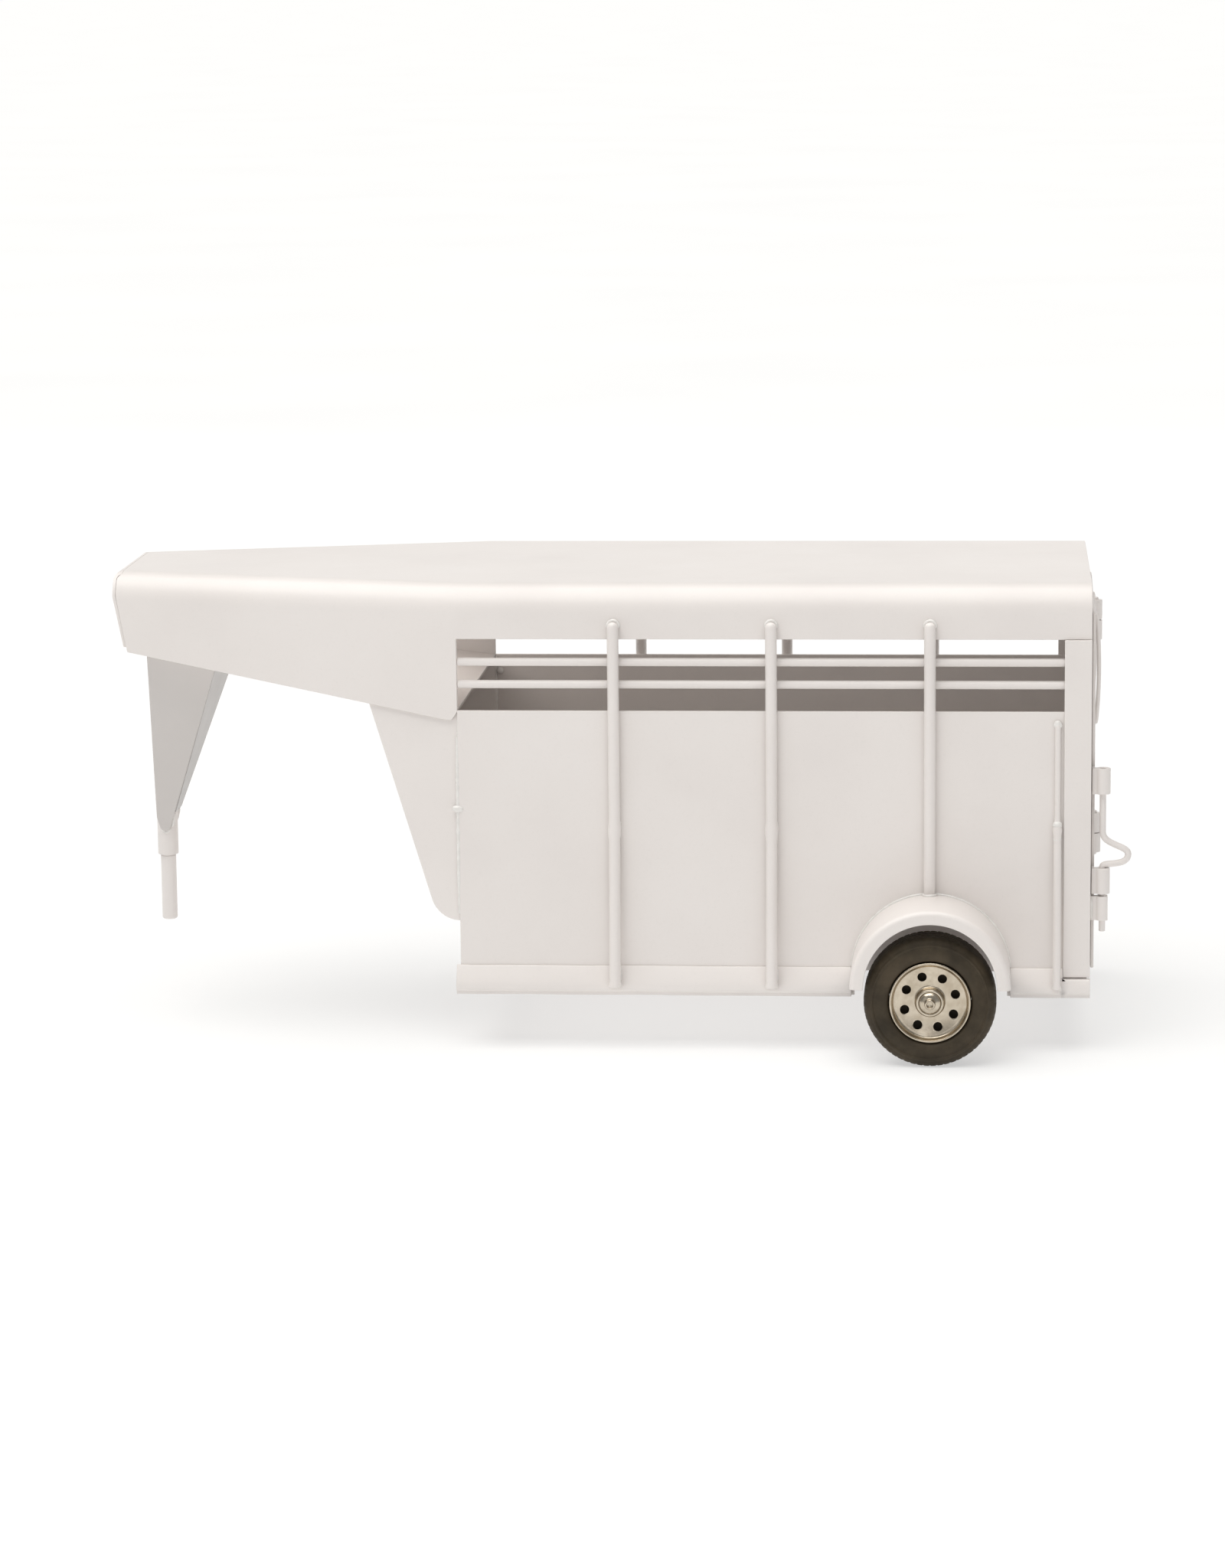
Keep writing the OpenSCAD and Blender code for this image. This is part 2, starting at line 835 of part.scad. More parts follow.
// The handle's centre line in X and Z, from its low end out to the grip and up to its high end.
// Its two ends reach on by lap into the bolt's straight lengths.
function handle_path(n, lap) = let (
        x = pivot_x,
        tip = handle_x - bolt_r,
        low = [[x, handle_low], [x, handle_low + 2.3], [tip, handle_low - 0.4], [tip, handle_mid]],
        high = [[tip, handle_mid], [tip, handle_mid + 3.3], [x, handle_high - 5.2], [x, handle_high]]
    ) concat(
        [[x, handle_low - lap]], [for (i = [0:n - 1]) cubic(low, i / n)],
        [for (i = [0:n]) cubic(high, i / n)], [[x, handle_high + lap]]
    );

// Direction of a path at point i, in degrees from +X
function heading(p, i) = let (
        a = p[max(i - 1, 0)], b = p[min(i + 1, len(p) - 1)],
        level = i == 0 || i == len(p) - 1
    ) level ? 90 : atan2(b[1] - a[1], b[0] - a[0]);

// A tube swept along a path in X and Z
module sweep_xz(p, r, sides = 12) {
    last = len(p) - 1;
    points = [for (i = [0:last]) let (h = heading(p, i)) for (k = [0:sides - 1])
        let (a = 360 * k / sides, u = r * cos(a), v = r * sin(a))
            [p[i][0] - u * sin(h), v, p[i][1] + u * cos(h)]];
    walls = [for (i = [0:last - 1]) for (k = [0:sides - 1]) let (m = (k + 1) % sides)
        [i * sides + k, i * sides + m, (i + 1) * sides + m, (i + 1) * sides + k]];
    start = [for (k = [sides - 1:-1:0]) k];
    end = [for (k = [0:sides - 1]) last * sides + k];
    polyhedron(points, concat(walls, [start, end]));
}

// The bolt is one bent rod: two straight lengths and the handle bent out between them
module latch_bolt() {
    color(PAINT) translate([0, latch_y, 0]) {
        translate([pivot_x, 0, bolt_bottom]) cylinder(h = handle_low - bolt_bottom, r = bolt_r);
        translate([pivot_x, 0, handle_high]) cylinder(h = bolt_top - handle_high, r = bolt_r);
        sweep_xz(handle_path(10, 0.6), bolt_r - 0.05);
    }
}

// The keeper on the rear post: a cradle whose mouth faces the rear
module latch_keeper() {
    color(PAINT) difference() {
        union() {
            translate([pivot_x, latch_y, keeper_at]) cylinder(h = keeper_len, r = keeper_r);
            translate([box_rear, latch_y - tab_t / 2, keeper_at]) cube([pivot_x - box_rear, tab_t, keeper_len]);
        }
        translate([pivot_x, latch_y, keeper_at - 1]) cylinder(h = keeper_len + 2, r = mouth / 2);
        translate([pivot_x, latch_y - mouth / 2, keeper_at - 1]) cube([10, mouth, keeper_len + 2]);
    }
}

floor_plate();
left_base_rail();
right_base_rail();
front_sill();
rear_sill();
left_side_panel();
right_side_panel();
lower_front_panel();
front_wall();
left_front_wing();
right_front_wing();
nose_floor();
nose_sheet();
nose_front_plate();
roof_sheet();
rear_header();
left_rear_post();
right_rear_post();
left_rod_front();
left_rod_middle();
left_rod_wheel();
left_rod_rear();
right_rod_front();
right_rod_middle();
right_rod_wheel();
right_rod_rear();
left_bar_upper();
left_bar_lower();
right_bar_upper();
right_bar_lower();
left_fender();
right_fender();
axle();
axle_brackets();
axle_collars();
axle_nuts();
coupler_left_plate();
coupler_right_plate();
coupler_rear_plate();
coupler_tube();
king_pin();
frame_knuckles();
hinge_pins();
latch_keeper();
left_tyre();
left_rim();
left_hub_cap();
right_tyre();
right_rim();
right_hub_cap();
gate_panel();
gate_bar_upper();
gate_bar_lower();
gate_uprights();
gate_knuckles();
latch_guides();
latch_bolt();
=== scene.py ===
"""Looks of the toy gooseneck livestock trailer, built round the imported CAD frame.

The frame has +X at the gate, -X at the gooseneck, -Y towards the camera and +Z up. Lengths are in
metres. The outlines of the wheels, the rail and the fender's section are written in millimetres and
multiplied by MM where they are used.
"""

import math
import random

import bmesh
import bpy
from mathutils import Matrix, Vector, noise


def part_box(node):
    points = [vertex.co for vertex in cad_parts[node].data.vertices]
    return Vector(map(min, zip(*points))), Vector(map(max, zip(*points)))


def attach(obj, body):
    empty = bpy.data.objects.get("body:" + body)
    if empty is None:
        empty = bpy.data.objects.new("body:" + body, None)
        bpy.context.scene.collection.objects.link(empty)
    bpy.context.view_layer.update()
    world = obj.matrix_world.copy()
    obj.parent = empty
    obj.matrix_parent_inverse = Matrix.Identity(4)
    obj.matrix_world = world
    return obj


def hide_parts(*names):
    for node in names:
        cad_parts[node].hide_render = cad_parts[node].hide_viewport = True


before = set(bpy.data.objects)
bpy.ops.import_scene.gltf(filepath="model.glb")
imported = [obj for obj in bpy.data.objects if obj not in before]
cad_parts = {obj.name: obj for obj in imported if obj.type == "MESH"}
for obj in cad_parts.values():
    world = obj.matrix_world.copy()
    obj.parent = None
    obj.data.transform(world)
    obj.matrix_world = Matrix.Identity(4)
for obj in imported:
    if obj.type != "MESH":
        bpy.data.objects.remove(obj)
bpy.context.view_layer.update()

MM = 0.001
SHEET = 1.2 * MM
EDGE = 0.28 * MM
DENT_SIZE = 60 * MM
DENT_DEPTH = 0.35 * MM
DICE = random.Random(16)


# ---------------------------------------------------------------------------
# Measures read from the frame, and the sides' names
# ---------------------------------------------------------------------------

def span(node):
    """Lowest and highest corner of a CAD node, as vectors."""
    low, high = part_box(node)
    return Vector(low), Vector(high)


ROOF_LOW, ROOF_HIGH = span("roof_sheet")
FENDER_LOW, FENDER_HIGH = span("left_fender")
TYRE_LOW, TYRE_HIGH = span("left_tyre")

SIDE_Y = ROOF_HIGH.y
BOX_FRONT = ROOF_LOW.x
BOX_REAR = ROOF_HIGH.x
ROOF_TOP = ROOF_HIGH.z
BAND_BOTTOM = ROOF_LOW.z
EAVE_R = 11 * MM
AXLE_X = (TYRE_LOW.x + TYRE_HIGH.x) / 2
AXLE_Z = (TYRE_LOW.z + TYRE_HIGH.z) / 2
LEFT, RIGHT = -1, 1
SIDES = (("left", LEFT), ("right", RIGHT))


# ---------------------------------------------------------------------------
# Materials
# ---------------------------------------------------------------------------

class Look:
    """A procedural material and the record's slot that it belongs to."""

    def __init__(self, name, slot):
        self.slot = slot
        self.material = bpy.data.materials.new(name)
        self.material.use_nodes = True
        self.tree = self.material.node_tree
        self.shader = self.tree.nodes["Principled BSDF"]

    def add(self, kind, links=None, **settings):
        """Adds a node. links maps its inputs to sockets or values, settings are its properties."""
        node = self.tree.nodes.new(kind)
        for key, value in settings.items():
            setattr(node, key, value)
        for key, value in (links or {}).items():
            self.join(value, node.inputs[key])
        return node

    def join(self, source, target):
        if isinstance(source, bpy.types.NodeSocket):
            self.tree.links.new(source, target)
        else:
            target.default_value = source

    def coords(self):
        return self.add("ShaderNodeTexCoord").outputs["Object"]

    def noise(self, scale, detail=3.0, rough=0.5, vector=None):
        links = {"Vector": vector or self.coords(), "Scale": scale, "Detail": detail, "Roughness": rough}
        return self.add("ShaderNodeTexNoise", links).outputs["Fac"]

    def ramp(self, source, *stops):
        """A colour ramp; stops are (position, (r, g, b))."""
        node = self.add("ShaderNodeValToRGB", {"Fac": source})
        points = node.color_ramp.elements
        while len(points) < len(stops):
            points.new(0.5)
        for point, (at, colour) in zip(points, stops):
            point.position = at
            point.color = (*colour, 1)
        return node.outputs["Color"]

    def span(self, source, low, high, start=0.0, end=1.0):
        """Maps source from start..end to low..high."""
        links = {"Value": source, "From Min": start, "From Max": end, "To Min": low, "To Max": high}
        return self.add("ShaderNodeMapRange", links).outputs["Result"]

    def mix(self, factor, first, second, kind="MIX"):
        node = self.add("ShaderNodeMix", data_type="RGBA", blend_type=kind)
        self.join(factor, node.inputs["Factor"])
        self.join(first, node.inputs["A"])
        self.join(second, node.inputs["B"])
        return node.outputs["Result"]

    def bump(self, height, distance, strength=1.0, under=None):
        links = {"Height": height, "Distance": distance, "Strength": strength}
        if under:
            links["Normal"] = under
        return self.add("ShaderNodeBump", links).outputs["Normal"]

    def set(self, **inputs):
        for key, value in inputs.items():
            self.join(value, self.shader.inputs[key.replace("_", " ")])


def paint_look(name="white_paint", cover=1.0):
    """Gloss enamel brushed over welded steel: faint mottling, orange peel, and painted shade that darkens
    its corners and seams.

    cover under 1 darkens every tint: a painted shade, for copies of the enamel on plates that sit in
    shadow.
    """
    look = Look(name, "white_paint")
    shades = ((0.30, (0.815, 0.768, 0.742)), (0.50, (0.842, 0.796, 0.768)), (0.72, (0.860, 0.816, 0.790)))
    patches = look.noise(16, 4, 0.55)
    tint = look.ramp(patches, *[(at, [part * cover for part in colour]) for at, colour in shades])
    speckle = look.noise(900, 2, 0.6)
    tint = look.mix(look.span(speckle, 0, 0.10, 0.55, 0.8), tint, (0.66, 0.63, 0.59, 1))
    # Painted shade: ambient occlusion within 5 mm darkens the tint in corners, seams and at the rods' feet.
    corner = look.add("ShaderNodeAmbientOcclusion", {"Distance": 5 * MM}, samples=8).outputs["AO"]
    tint = look.mix(look.span(corner, 0.18, 0, 0.25, 0.85), tint, (0.40, 0.38, 0.35, 1))
    peel = look.bump(look.noise(420, 2, 0.5), 0.05 * MM, 0.5)
    brushed = look.bump(look.noise(60, 3, 0.6), 0.25 * MM, 0.35, peel)
    look.set(Base_Color=tint, Roughness=look.span(look.noise(70, 3), 0.30, 0.46), Normal=brushed)
    look.shader.inputs["Specular IOR Level"].default_value = 0.4
    look.shader.inputs["Coat Weight"].default_value = 0.15
    look.shader.inputs["Coat Roughness"].default_value = 0.22
    return look


def weld_look():
    """The same enamel over a weld bead: thicker paint, so smoother and a little brighter."""
    look = Look("painted_weld", "white_paint")
    tint = look.ramp(look.noise(300, 3), (0.35, (0.80, 0.775, 0.745)), (0.65, (0.87, 0.85, 0.825)))
    look.set(
        Base_Color=tint,
        Roughness=look.span(look.noise(200), 0.22, 0.36),
        Normal=look.bump(look.noise(700, 2), 0.08 * MM, 0.5),
    )
    look.shader.inputs["Coat Weight"].default_value = 0.4
    look.shader.inputs["Coat Roughness"].default_value = 0.12
    return look


def tyre_look():
    """Moulded vinyl tyre: brown-black, matt, with patches of dusty bloom."""
    look = Look("tyre_rubber", "tyre_rubber")
    patches = look.noise(95, 4, 0.6)
    tint = look.ramp(
        patches,
        (0.30, (0.033, 0.025, 0.015)),
        (0.52, (0.054, 0.041, 0.025)),
        (0.75, (0.082, 0.061, 0.038)),
    )
    grain = look.bump(look.noise(1600, 2, 0.6), 0.05 * MM, 0.6)
    look.set(Base_Color=tint, Roughness=look.span(look.noise(260, 3), 0.50, 0.72), Normal=grain)
    look.shader.inputs["Specular IOR Level"].default_value = 0.25
    return look


def chrome_look():
    """Warm vacuum plating on a spun rim: fine turning rings and a cloudy bloom."""
    look = Look("rim_chrome", "rim_chrome")
    spot = look.add("ShaderNodeSeparateXYZ", {"Vector": look.coords()})
    squared = look.add("ShaderNodeMath", {0: spot.outputs["X"], 1: spot.outputs["X"]}, operation="MULTIPLY")
    sum_up = {0: spot.outputs["Z"], 1: spot.outputs["Z"], 2: squared.outputs[0]}
    total = look.add("ShaderNodeMath", sum_up, operation="MULTIPLY_ADD")
    radius = look.add("ShaderNodeMath", {0: total.outputs[0], 1: 0.5}, operation="POWER")
    rings_at = look.add("ShaderNodeCombineXYZ", {"X": radius.outputs[0]})
    rings = look.noise(5200, 2, 0.6, rings_at.outputs["Vector"])
    bloom = look.noise(210, 3, 0.6)
    tint = look.ramp(bloom, (0.35, (0.46, 0.395, 0.305)), (0.65, (0.60, 0.53, 0.43)))
    look.set(
        Base_Color=tint,
        Roughness=look.span(bloom, 0.16, 0.30),
        Normal=look.bump(rings, 0.01 * MM, 0.35),
    )
    look.shader.inputs["Metallic"].default_value = 1.0
    return look


def steel_look():
    """Plain drawn steel rod and turned nuts, slightly dulled."""
    look = Look("axle_steel", "axle_steel")
    stretched = look.add(
        "ShaderNodeMapping", {"Vector": look.coords(), "Scale": (1, 0.02, 1)}
    ).outputs["Vector"]
    drawn = look.noise(2600, 3, 0.6, stretched)
    tint = look.ramp(look.noise(120, 3), (0.35, (0.34, 0.33, 0.32)), (0.7, (0.56, 0.55, 0.54)))
    look.set(
        Base_Color=tint,
        Roughness=look.span(drawn, 0.25, 0.48),
        Normal=look.bump(drawn, 0.02 * MM, 0.4),
    )
    look.shader.inputs["Metallic"].default_value = 1.0
    return look


PAINT = paint_look()
# Darker copies of the enamel, painted shade for the coupler's plates: its side plates and, darker still,
# its rear plate.
SHADED_PAINT = paint_look("shaded_white_paint", 0.75)
DEEP_SHADED_PAINT = paint_look("deep_shaded_white_paint", 0.50)
WELD = weld_look()
RUBBER = tyre_look()
CHROME = chrome_look()
STEEL = steel_look()


# ---------------------------------------------------------------------------
# Mesh helpers
# ---------------------------------------------------------------------------

def piece_from(bm, name, body, look, stands_for=(), at=(0, 0, 0)):
    """Turns a bmesh into a piece that rides on a body and replaces the named CAD nodes."""
    mesh = bpy.data.meshes.new(name)
    bm.to_mesh(mesh)
    bm.free()
    mesh.materials.append(look.material)
    for face in mesh.polygons:
        face.use_smooth = True
    piece = bpy.data.objects.new(name, mesh)
    piece.location = at
    bpy.context.collection.objects.link(piece)
    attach(piece, body)
    if stands_for:
        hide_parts(*stands_for)
    return piece


def soften(piece, width=EDGE, angle=35, steps=2):
    """Rounds a piece's sharp edges a little and evens out its shading."""
    bevel = piece.modifiers.new("soft_edges", "BEVEL")
    bevel.limit_method = "ANGLE"
    bevel.angle_limit = math.radians(angle)
    bevel.width = width
    bevel.segments = steps
    bevel.use_clamp_overlap = True
    piece.modifiers.new("even_shading", "WEIGHTED_NORMAL").keep_sharp = False


def grid(bm, point, columns, rows, keep=None):
    """Adds a grid of faces. point(u, v) is called with u and v from 0 to 1."""
    spots = [[bm.verts.new(point(i / columns, j / rows)) for j in range(rows + 1)]
             for i in range(columns + 1)]
    for i in range(columns):
        for j in range(rows):
            if keep is None or keep((i + 0.5) / columns, (j + 0.5) / rows):
                bm.faces.new((spots[i][j], spots[i + 1][j], spots[i + 1][j + 1], spots[i][j + 1]))
    loose = [v for v in bm.verts if not v.link_faces]
    bmesh.ops.delete(bm, geom=loose, context="VERTS")


def sheet_piece(name, point, columns, rows, body, stands_for, keep=None, flip=False):
    """A steel sheet. point(u, v) lies on its outer face, and it grows inwards from there."""
    bm = bmesh.new()
    grid(bm, point, columns, rows, keep)
    if flip:
        bmesh.ops.reverse_faces(bm, faces=bm.faces)
    piece = piece_from(bm, name, body, PAINT, stands_for)
    solid = piece.modifiers.new("thickness", "SOLIDIFY")
    solid.thickness = SHEET
    solid.offset = -1
    solid.use_even_offset = True
    soften(piece)


def frames_along(path):
    """A point, side and up vector for each point of a path, without twist."""
    result = []
    side = None
    for i, spot in enumerate(path):
        before, after = path[max(i - 1, 0)], path[min(i + 1, len(path) - 1)]
        ahead = (after - before).normalized()
        if side is None:
            side = ahead.orthogonal().normalized()
        side = (side - ahead * side.dot(ahead)).normalized()
        result.append((spot, side, ahead.cross(side), ahead))
    return result


def bar(bm, path, radius, sides=24, domes=(True, True), radii=None):
    """Adds a round bar along a path. Its ends are domed, or cut flat with a small chamfer.

    radii gives the bar's radius at each point of the path, where it isn't the same all along.
    """
    path = [Vector(p) for p in path]
    radii = radii or [radius] * len(path)
    frames = frames_along(path)
    rings = []

    def ring(frame_at, r, shift):
        spot, side, up, ahead = frame_at
        middle = spot + ahead * shift
        turns = [2 * math.pi * k / sides for k in range(sides)]
        rings.append([bm.verts.new(middle + (side * math.cos(a) + up * math.sin(a)) * r) for a in turns])

    def end(r, sign, domed):
        """The radius and shift of an end's rings, in the bar's direction."""
        if domed:
            angles = [math.radians(a) for a in (80, 60, 40, 20)]
            steps = [(r * math.cos(a), sign * (r * math.sin(a) - r)) for a in angles]
        else:
            chamfer = min(EDGE, r / 4)
            steps = [(r - chamfer, 0), (r, -sign * chamfer)]
        return steps if sign < 0 else steps[::-1]

    for r, shift in end(radii[0], -1, domes[0]):
        ring(frames[0], r, shift)
    for frame_at, r in zip(frames[1:-1], radii[1:-1]):
        ring(frame_at, r, 0)
    for r, shift in end(radii[-1], 1, domes[1]):
        ring(frames[-1], r, shift)
    for low, high in zip(rings, rings[1:]):
        for k in range(sides):
            m = (k + 1) % sides
            bm.faces.new((low[k], low[m], high[m], high[k]))
    bm.faces.new(rings[0][::-1])
    bm.faces.new(rings[-1])


def lathe(bm, profile, steps, outward, closed=False, wobble=None):
    """Adds a turned shape about Y. profile holds (radius, distance outwards) points.

    wobble(k, radius, distance) is what step k of the turn adds to a point's radius.
    """
    rings = []
    for r, out in profile:
        if r < 1e-7:
            rings.append([bm.verts.new((0, outward * out, 0))])
            continue
        ring = []
        for k in range(steps):
            a = 2 * math.pi * k / steps
            rr = r + (wobble(k, r, out) if wobble else 0)
            ring.append(bm.verts.new((rr * math.cos(a), outward * out, rr * math.sin(a))))
        rings.append(ring)
    pairs = list(zip(rings, rings[1:]))
    if closed:
        pairs.append((rings[-1], rings[0]))
    for low, high in pairs:
        for k in range(steps):
            m = (k + 1) % steps
            corners = [low[k % len(low)], low[m % len(low)], high[m % len(high)], high[k % len(high)]]
            unique = list(dict.fromkeys(corners))
            if len(unique) > 2:
                bm.faces.new(unique)
    bmesh.ops.recalc_face_normals(bm, faces=bm.faces)


def arc(centre_u, centre_v, r, start, end, steps):
    """Points along an arc in a plane; angles in degrees."""
    angles = [math.radians(start + (end - start) * i / steps) for i in range(steps + 1)]
    return [(centre_u + r * math.cos(a), centre_v + r * math.sin(a)) for a in angles]


def along(points):
    """A function of 0..1 that walks a polyline at even speed, and the polyline's length."""
    points = [Vector(p) for p in points]
    marks = [0.0]
    for a, b in zip(points, points[1:]):
        marks.append(marks[-1] + (b - a).length)

    def walk(t):
        want = t * marks[-1]
        for i in range(len(points) - 1):
            if want <= marks[i + 1] or i == len(points) - 2:
                step = marks[i + 1] - marks[i]
                return points[i].lerp(points[i + 1], (want - marks[i]) / step if step else 0)

    return walk, marks[-1]


def dent(spot):
    """How far hand-worked sheet is pushed in at a spot: always inwards, and at most DENT_DEPTH."""
    return DENT_DEPTH * (0.5 + 0.5 * noise.noise(spot / DENT_SIZE + Vector((7, 3, 5))))


def fade(t, edge=0.06):
    """0 at both ends of 0..1 and 1 in between."""
    return max(0.0, min(1.0, t / edge, (1 - t) / edge))


def dressed(node, body, look=PAINT, width=EDGE):
    """A CAD node's own shape with its flat faces merged and its edges rounded."""
    bm = bmesh.new()
    bm.from_mesh(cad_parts[node].data)
    bmesh.ops.remove_doubles(bm, verts=bm.verts, dist=1e-6)
    flat = math.radians(0.8)
    bmesh.ops.dissolve_limit(bm, angle_limit=flat, verts=bm.verts, edges=bm.edges, delimit=set())
    bmesh.ops.recalc_face_normals(bm, faces=bm.faces)
    soften(piece_from(bm, node + "_dressed", body, look, [node]), width)


# ---------------------------------------------------------------------------
# Roof and gooseneck
# ---------------------------------------------------------------------------

BEND_STEPS = 12
ROOF_STRIPS = 16
SKIRT_STEPS = 6
NOSE_COLUMNS = 44
ROOF_COLUMNS = 56

NOSE_TIP = span("nose_front_plate")[0].x
NOSE_TOE = span("nose_front_plate")[0].z
NOSE_EDGE_REAR = 126.6 * MM
NOSE_SLOPE = 22.6 / 138.3
NOSE_HALF = 37.5 * MM
NOSE_TAPER = (SIDE_Y - NOSE_HALF) / (BOX_FRONT - NOSE_TIP)
NOSE_ROUND = 3 * MM
NOSE_KNEE = ROOF_TOP - 9 * MM       # above the knee the front end is upright, below it is raked
NOSE_RAKE = 3.9 * MM
NOSE_CORNER = 4 * MM
FOLD_LENGTH = 14 * MM               # the length over which the bend widens into the slanted fold
CROWDING = 0.25     # how far the gooseneck's columns crowd towards both its ends


def roof_section(half):
    """Outline of the folded roof in Y and Z, from the left band's foot to the right one's."""
    bend_y, bend_z = half - EAVE_R, ROOF_TOP - EAVE_R
    left = [(-half, BAND_BOTTOM)] + arc(-bend_y, bend_z, EAVE_R, 180, 90, BEND_STEPS)
    flats = [(-bend_y + 2 * bend_y * i / ROOF_STRIPS, ROOF_TOP) for i in range(1, ROOF_STRIPS)]
    right = arc(bend_y, bend_z, EAVE_R, 90, 0, BEND_STEPS) + [(half, BAND_BOTTOM)]
    return left + flats + right


def nose_low(x):
    """Height of the gooseneck's lower edge at x, with its rear corner rounded off."""
    gap = BOX_FRONT - x
    lift = NOSE_CORNER - math.sqrt(NOSE_CORNER ** 2 - (NOSE_CORNER - gap) ** 2) if gap < NOSE_CORNER else 0
    return NOSE_EDGE_REAR + gap * NOSE_SLOPE + lift


def half_at(x):
    """Half the cover's width at x."""
    return SIDE_Y - max(BOX_FRONT - x, 0) * NOSE_TAPER


def stretch_at(x):
    """How much wider than high the bend is at x: the gooseneck's sheet is folded at a slant."""
    blend = max(0.0, min(1.0, (BOX_FRONT - x) / FOLD_LENGTH))
    return 1 + (math.hypot(1, NOSE_TAPER) - 1) * blend


def nose_face_x(z, inset):
    """X of the gooseneck's front end at height z, moved back by inset."""
    centre_z = ROOF_TOP - NOSE_ROUND
    if z > centre_z:
        r = NOSE_ROUND - inset
        return NOSE_TIP + NOSE_ROUND - math.sqrt(max(r * r - (z - centre_z) ** 2, 0))
    if z > NOSE_KNEE:
        return NOSE_TIP + inset
    return NOSE_TIP + inset + NOSE_RAKE * (NOSE_KNEE - z) / (NOSE_KNEE - NOSE_TOE)


def top_cover():
    """The roof and the gooseneck are one folded sheet, whose sides hang lower along the gooseneck."""
    columns = NOSE_COLUMNS + ROOF_COLUMNS
    rows = 2 * BEND_STEPS + ROOF_STRIPS + 2 + 2 * SKIRT_STEPS

    def section(x):
        stretch = stretch_at(x)
        foot = nose_low(min(x, BOX_FRONT))
        bend = [(y * stretch, z) for y, z in roof_section(half_at(x) / stretch)]
        drop = [foot + (BAND_BOTTOM - foot) * i / SKIRT_STEPS for i in range(SKIRT_STEPS)]
        return [(bend[0][0], z) for z in drop] + bend + [(bend[-1][0], z) for z in reversed(drop)]

    def nose_x(t, j):
        """X of row j at t from the box's front, 0, to the gooseneck's front end, 1."""
        x = BOX_FRONT + t * (NOSE_TIP + SHEET - BOX_FRONT)
        for _ in range(3):
            z = min(section(x)[j][1], ROOF_TOP - SHEET)
            x = BOX_FRONT + t * (nose_face_x(z, SHEET) - BOX_FRONT)
        return x

    def point(u, v):
        i, j = round(u * columns), round(v * rows)
        if i >= NOSE_COLUMNS:
            x = BOX_FRONT + (BOX_REAR - BOX_FRONT) * (i - NOSE_COLUMNS) / ROOF_COLUMNS
        else:
            t = 1 - i / NOSE_COLUMNS
            x = nose_x((1 - CROWDING) * t + CROWDING * t * t * (3 - 2 * t), j)
        spot = Vector((x, *section(x)[j]))
        if abs(spot.y) < half_at(x) - EAVE_R * stretch_at(x):
            spot.z -= dent(spot) * fade(u)
        return spot

    def keep(u, v):
        return u * columns < NOSE_COLUMNS or SKIRT_STEPS < v * rows < rows - SKIRT_STEPS

    sheet_piece("top_cover", point, columns, rows, "trailer", ["roof_sheet", "nose_sheet"], keep)


FRAME_PARTS = (
    "nose_front_plate", "nose_floor", "rear_header", "floor_plate", "front_sill", "rear_sill",
    "lower_front_panel", "front_wall", "left_front_wing", "right_front_wing",
    "left_side_panel", "right_side_panel", "left_rear_post", "right_rear_post",
    "coupler_tube", "king_pin", "frame_knuckles", "hinge_pins", "latch_keeper", "axle_brackets",
)

top_cover()
for part in FRAME_PARTS:
    dressed(part, "trailer")
# The coupler's plates take the darker copies of the enamel: painted shade, since they face down into
# shadow.
for part in ("coupler_left_plate", "coupler_right_plate"):
    dressed(part, "trailer", SHADED_PAINT)
dressed("coupler_rear_plate", "trailer", DEEP_SHADED_PAINT)
for part in ("axle", "axle_collars", "axle_nuts"):
    dressed(part, "trailer", STEEL, 0.15 * MM)
for part in ("gate_panel", "gate_knuckles", "latch_guides"):
    dressed(part, "gate")


# ---------------------------------------------------------------------------
# Base rails, rods, bars and fenders
# ---------------------------------------------------------------------------

RAIL_LOW, RAIL_HIGH = span("left_base_rail")
RAIL_BOTTOM = RAIL_LOW.z
FLARE = -RAIL_LOW.y - SIDE_Y
POST_FOOT = span("left_rear_post")[0]
POST_GAP = 0.1 * MM
FENDER_HALF = (FENDER_HIGH.x - FENDER_LOW.x) / 2
ROD_BEND = 85 * MM
REAR_ROD_BEND = 87 * MM
ROD_STEPS = 60


def smooth_path(points, steps=6):
    """Points on a smooth curve through the given ones."""
    points = [Vector(p) for p in points]
    ends = [2 * points[0] - points[1]] + points + [2 * points[-1] - points[-2]]
    result = []
    for a, b, c, d in zip(ends, ends[1:], ends[2:], ends[3:]):
        for i in range(steps):
            t = i / steps
            result.append(0.5 * (2 * b + (c - a) * t + (2 * a - 5 * b + 4 * c - d) * t * t
                                 + (3 * b - a - 3 * c + d) * t ** 3))
    return result + [points[-1]]


def loft_along_x(bm, section, start, stop, columns):
    """Adds a closed bar of one section, in Y and Z, from X start to X stop."""
    rings = []
    for i in range(columns + 1):
        x = start + (stop - start) * i / columns
        sink = 0.12 * MM * noise.noise(Vector((x / (22 * MM), 3, 9))) * fade(i / columns)
        rings.append([bm.verts.new((x, y, z + sink)) for y, z in section])
    for low, high in zip(rings, rings[1:]):
        for k in range(len(section)):
            m = (k + 1) % len(section)
            bm.faces.new((low[k], low[m], high[m], high[k]))
    bm.faces.new(rings[0])
    bm.faces.new(rings[-1][::-1])


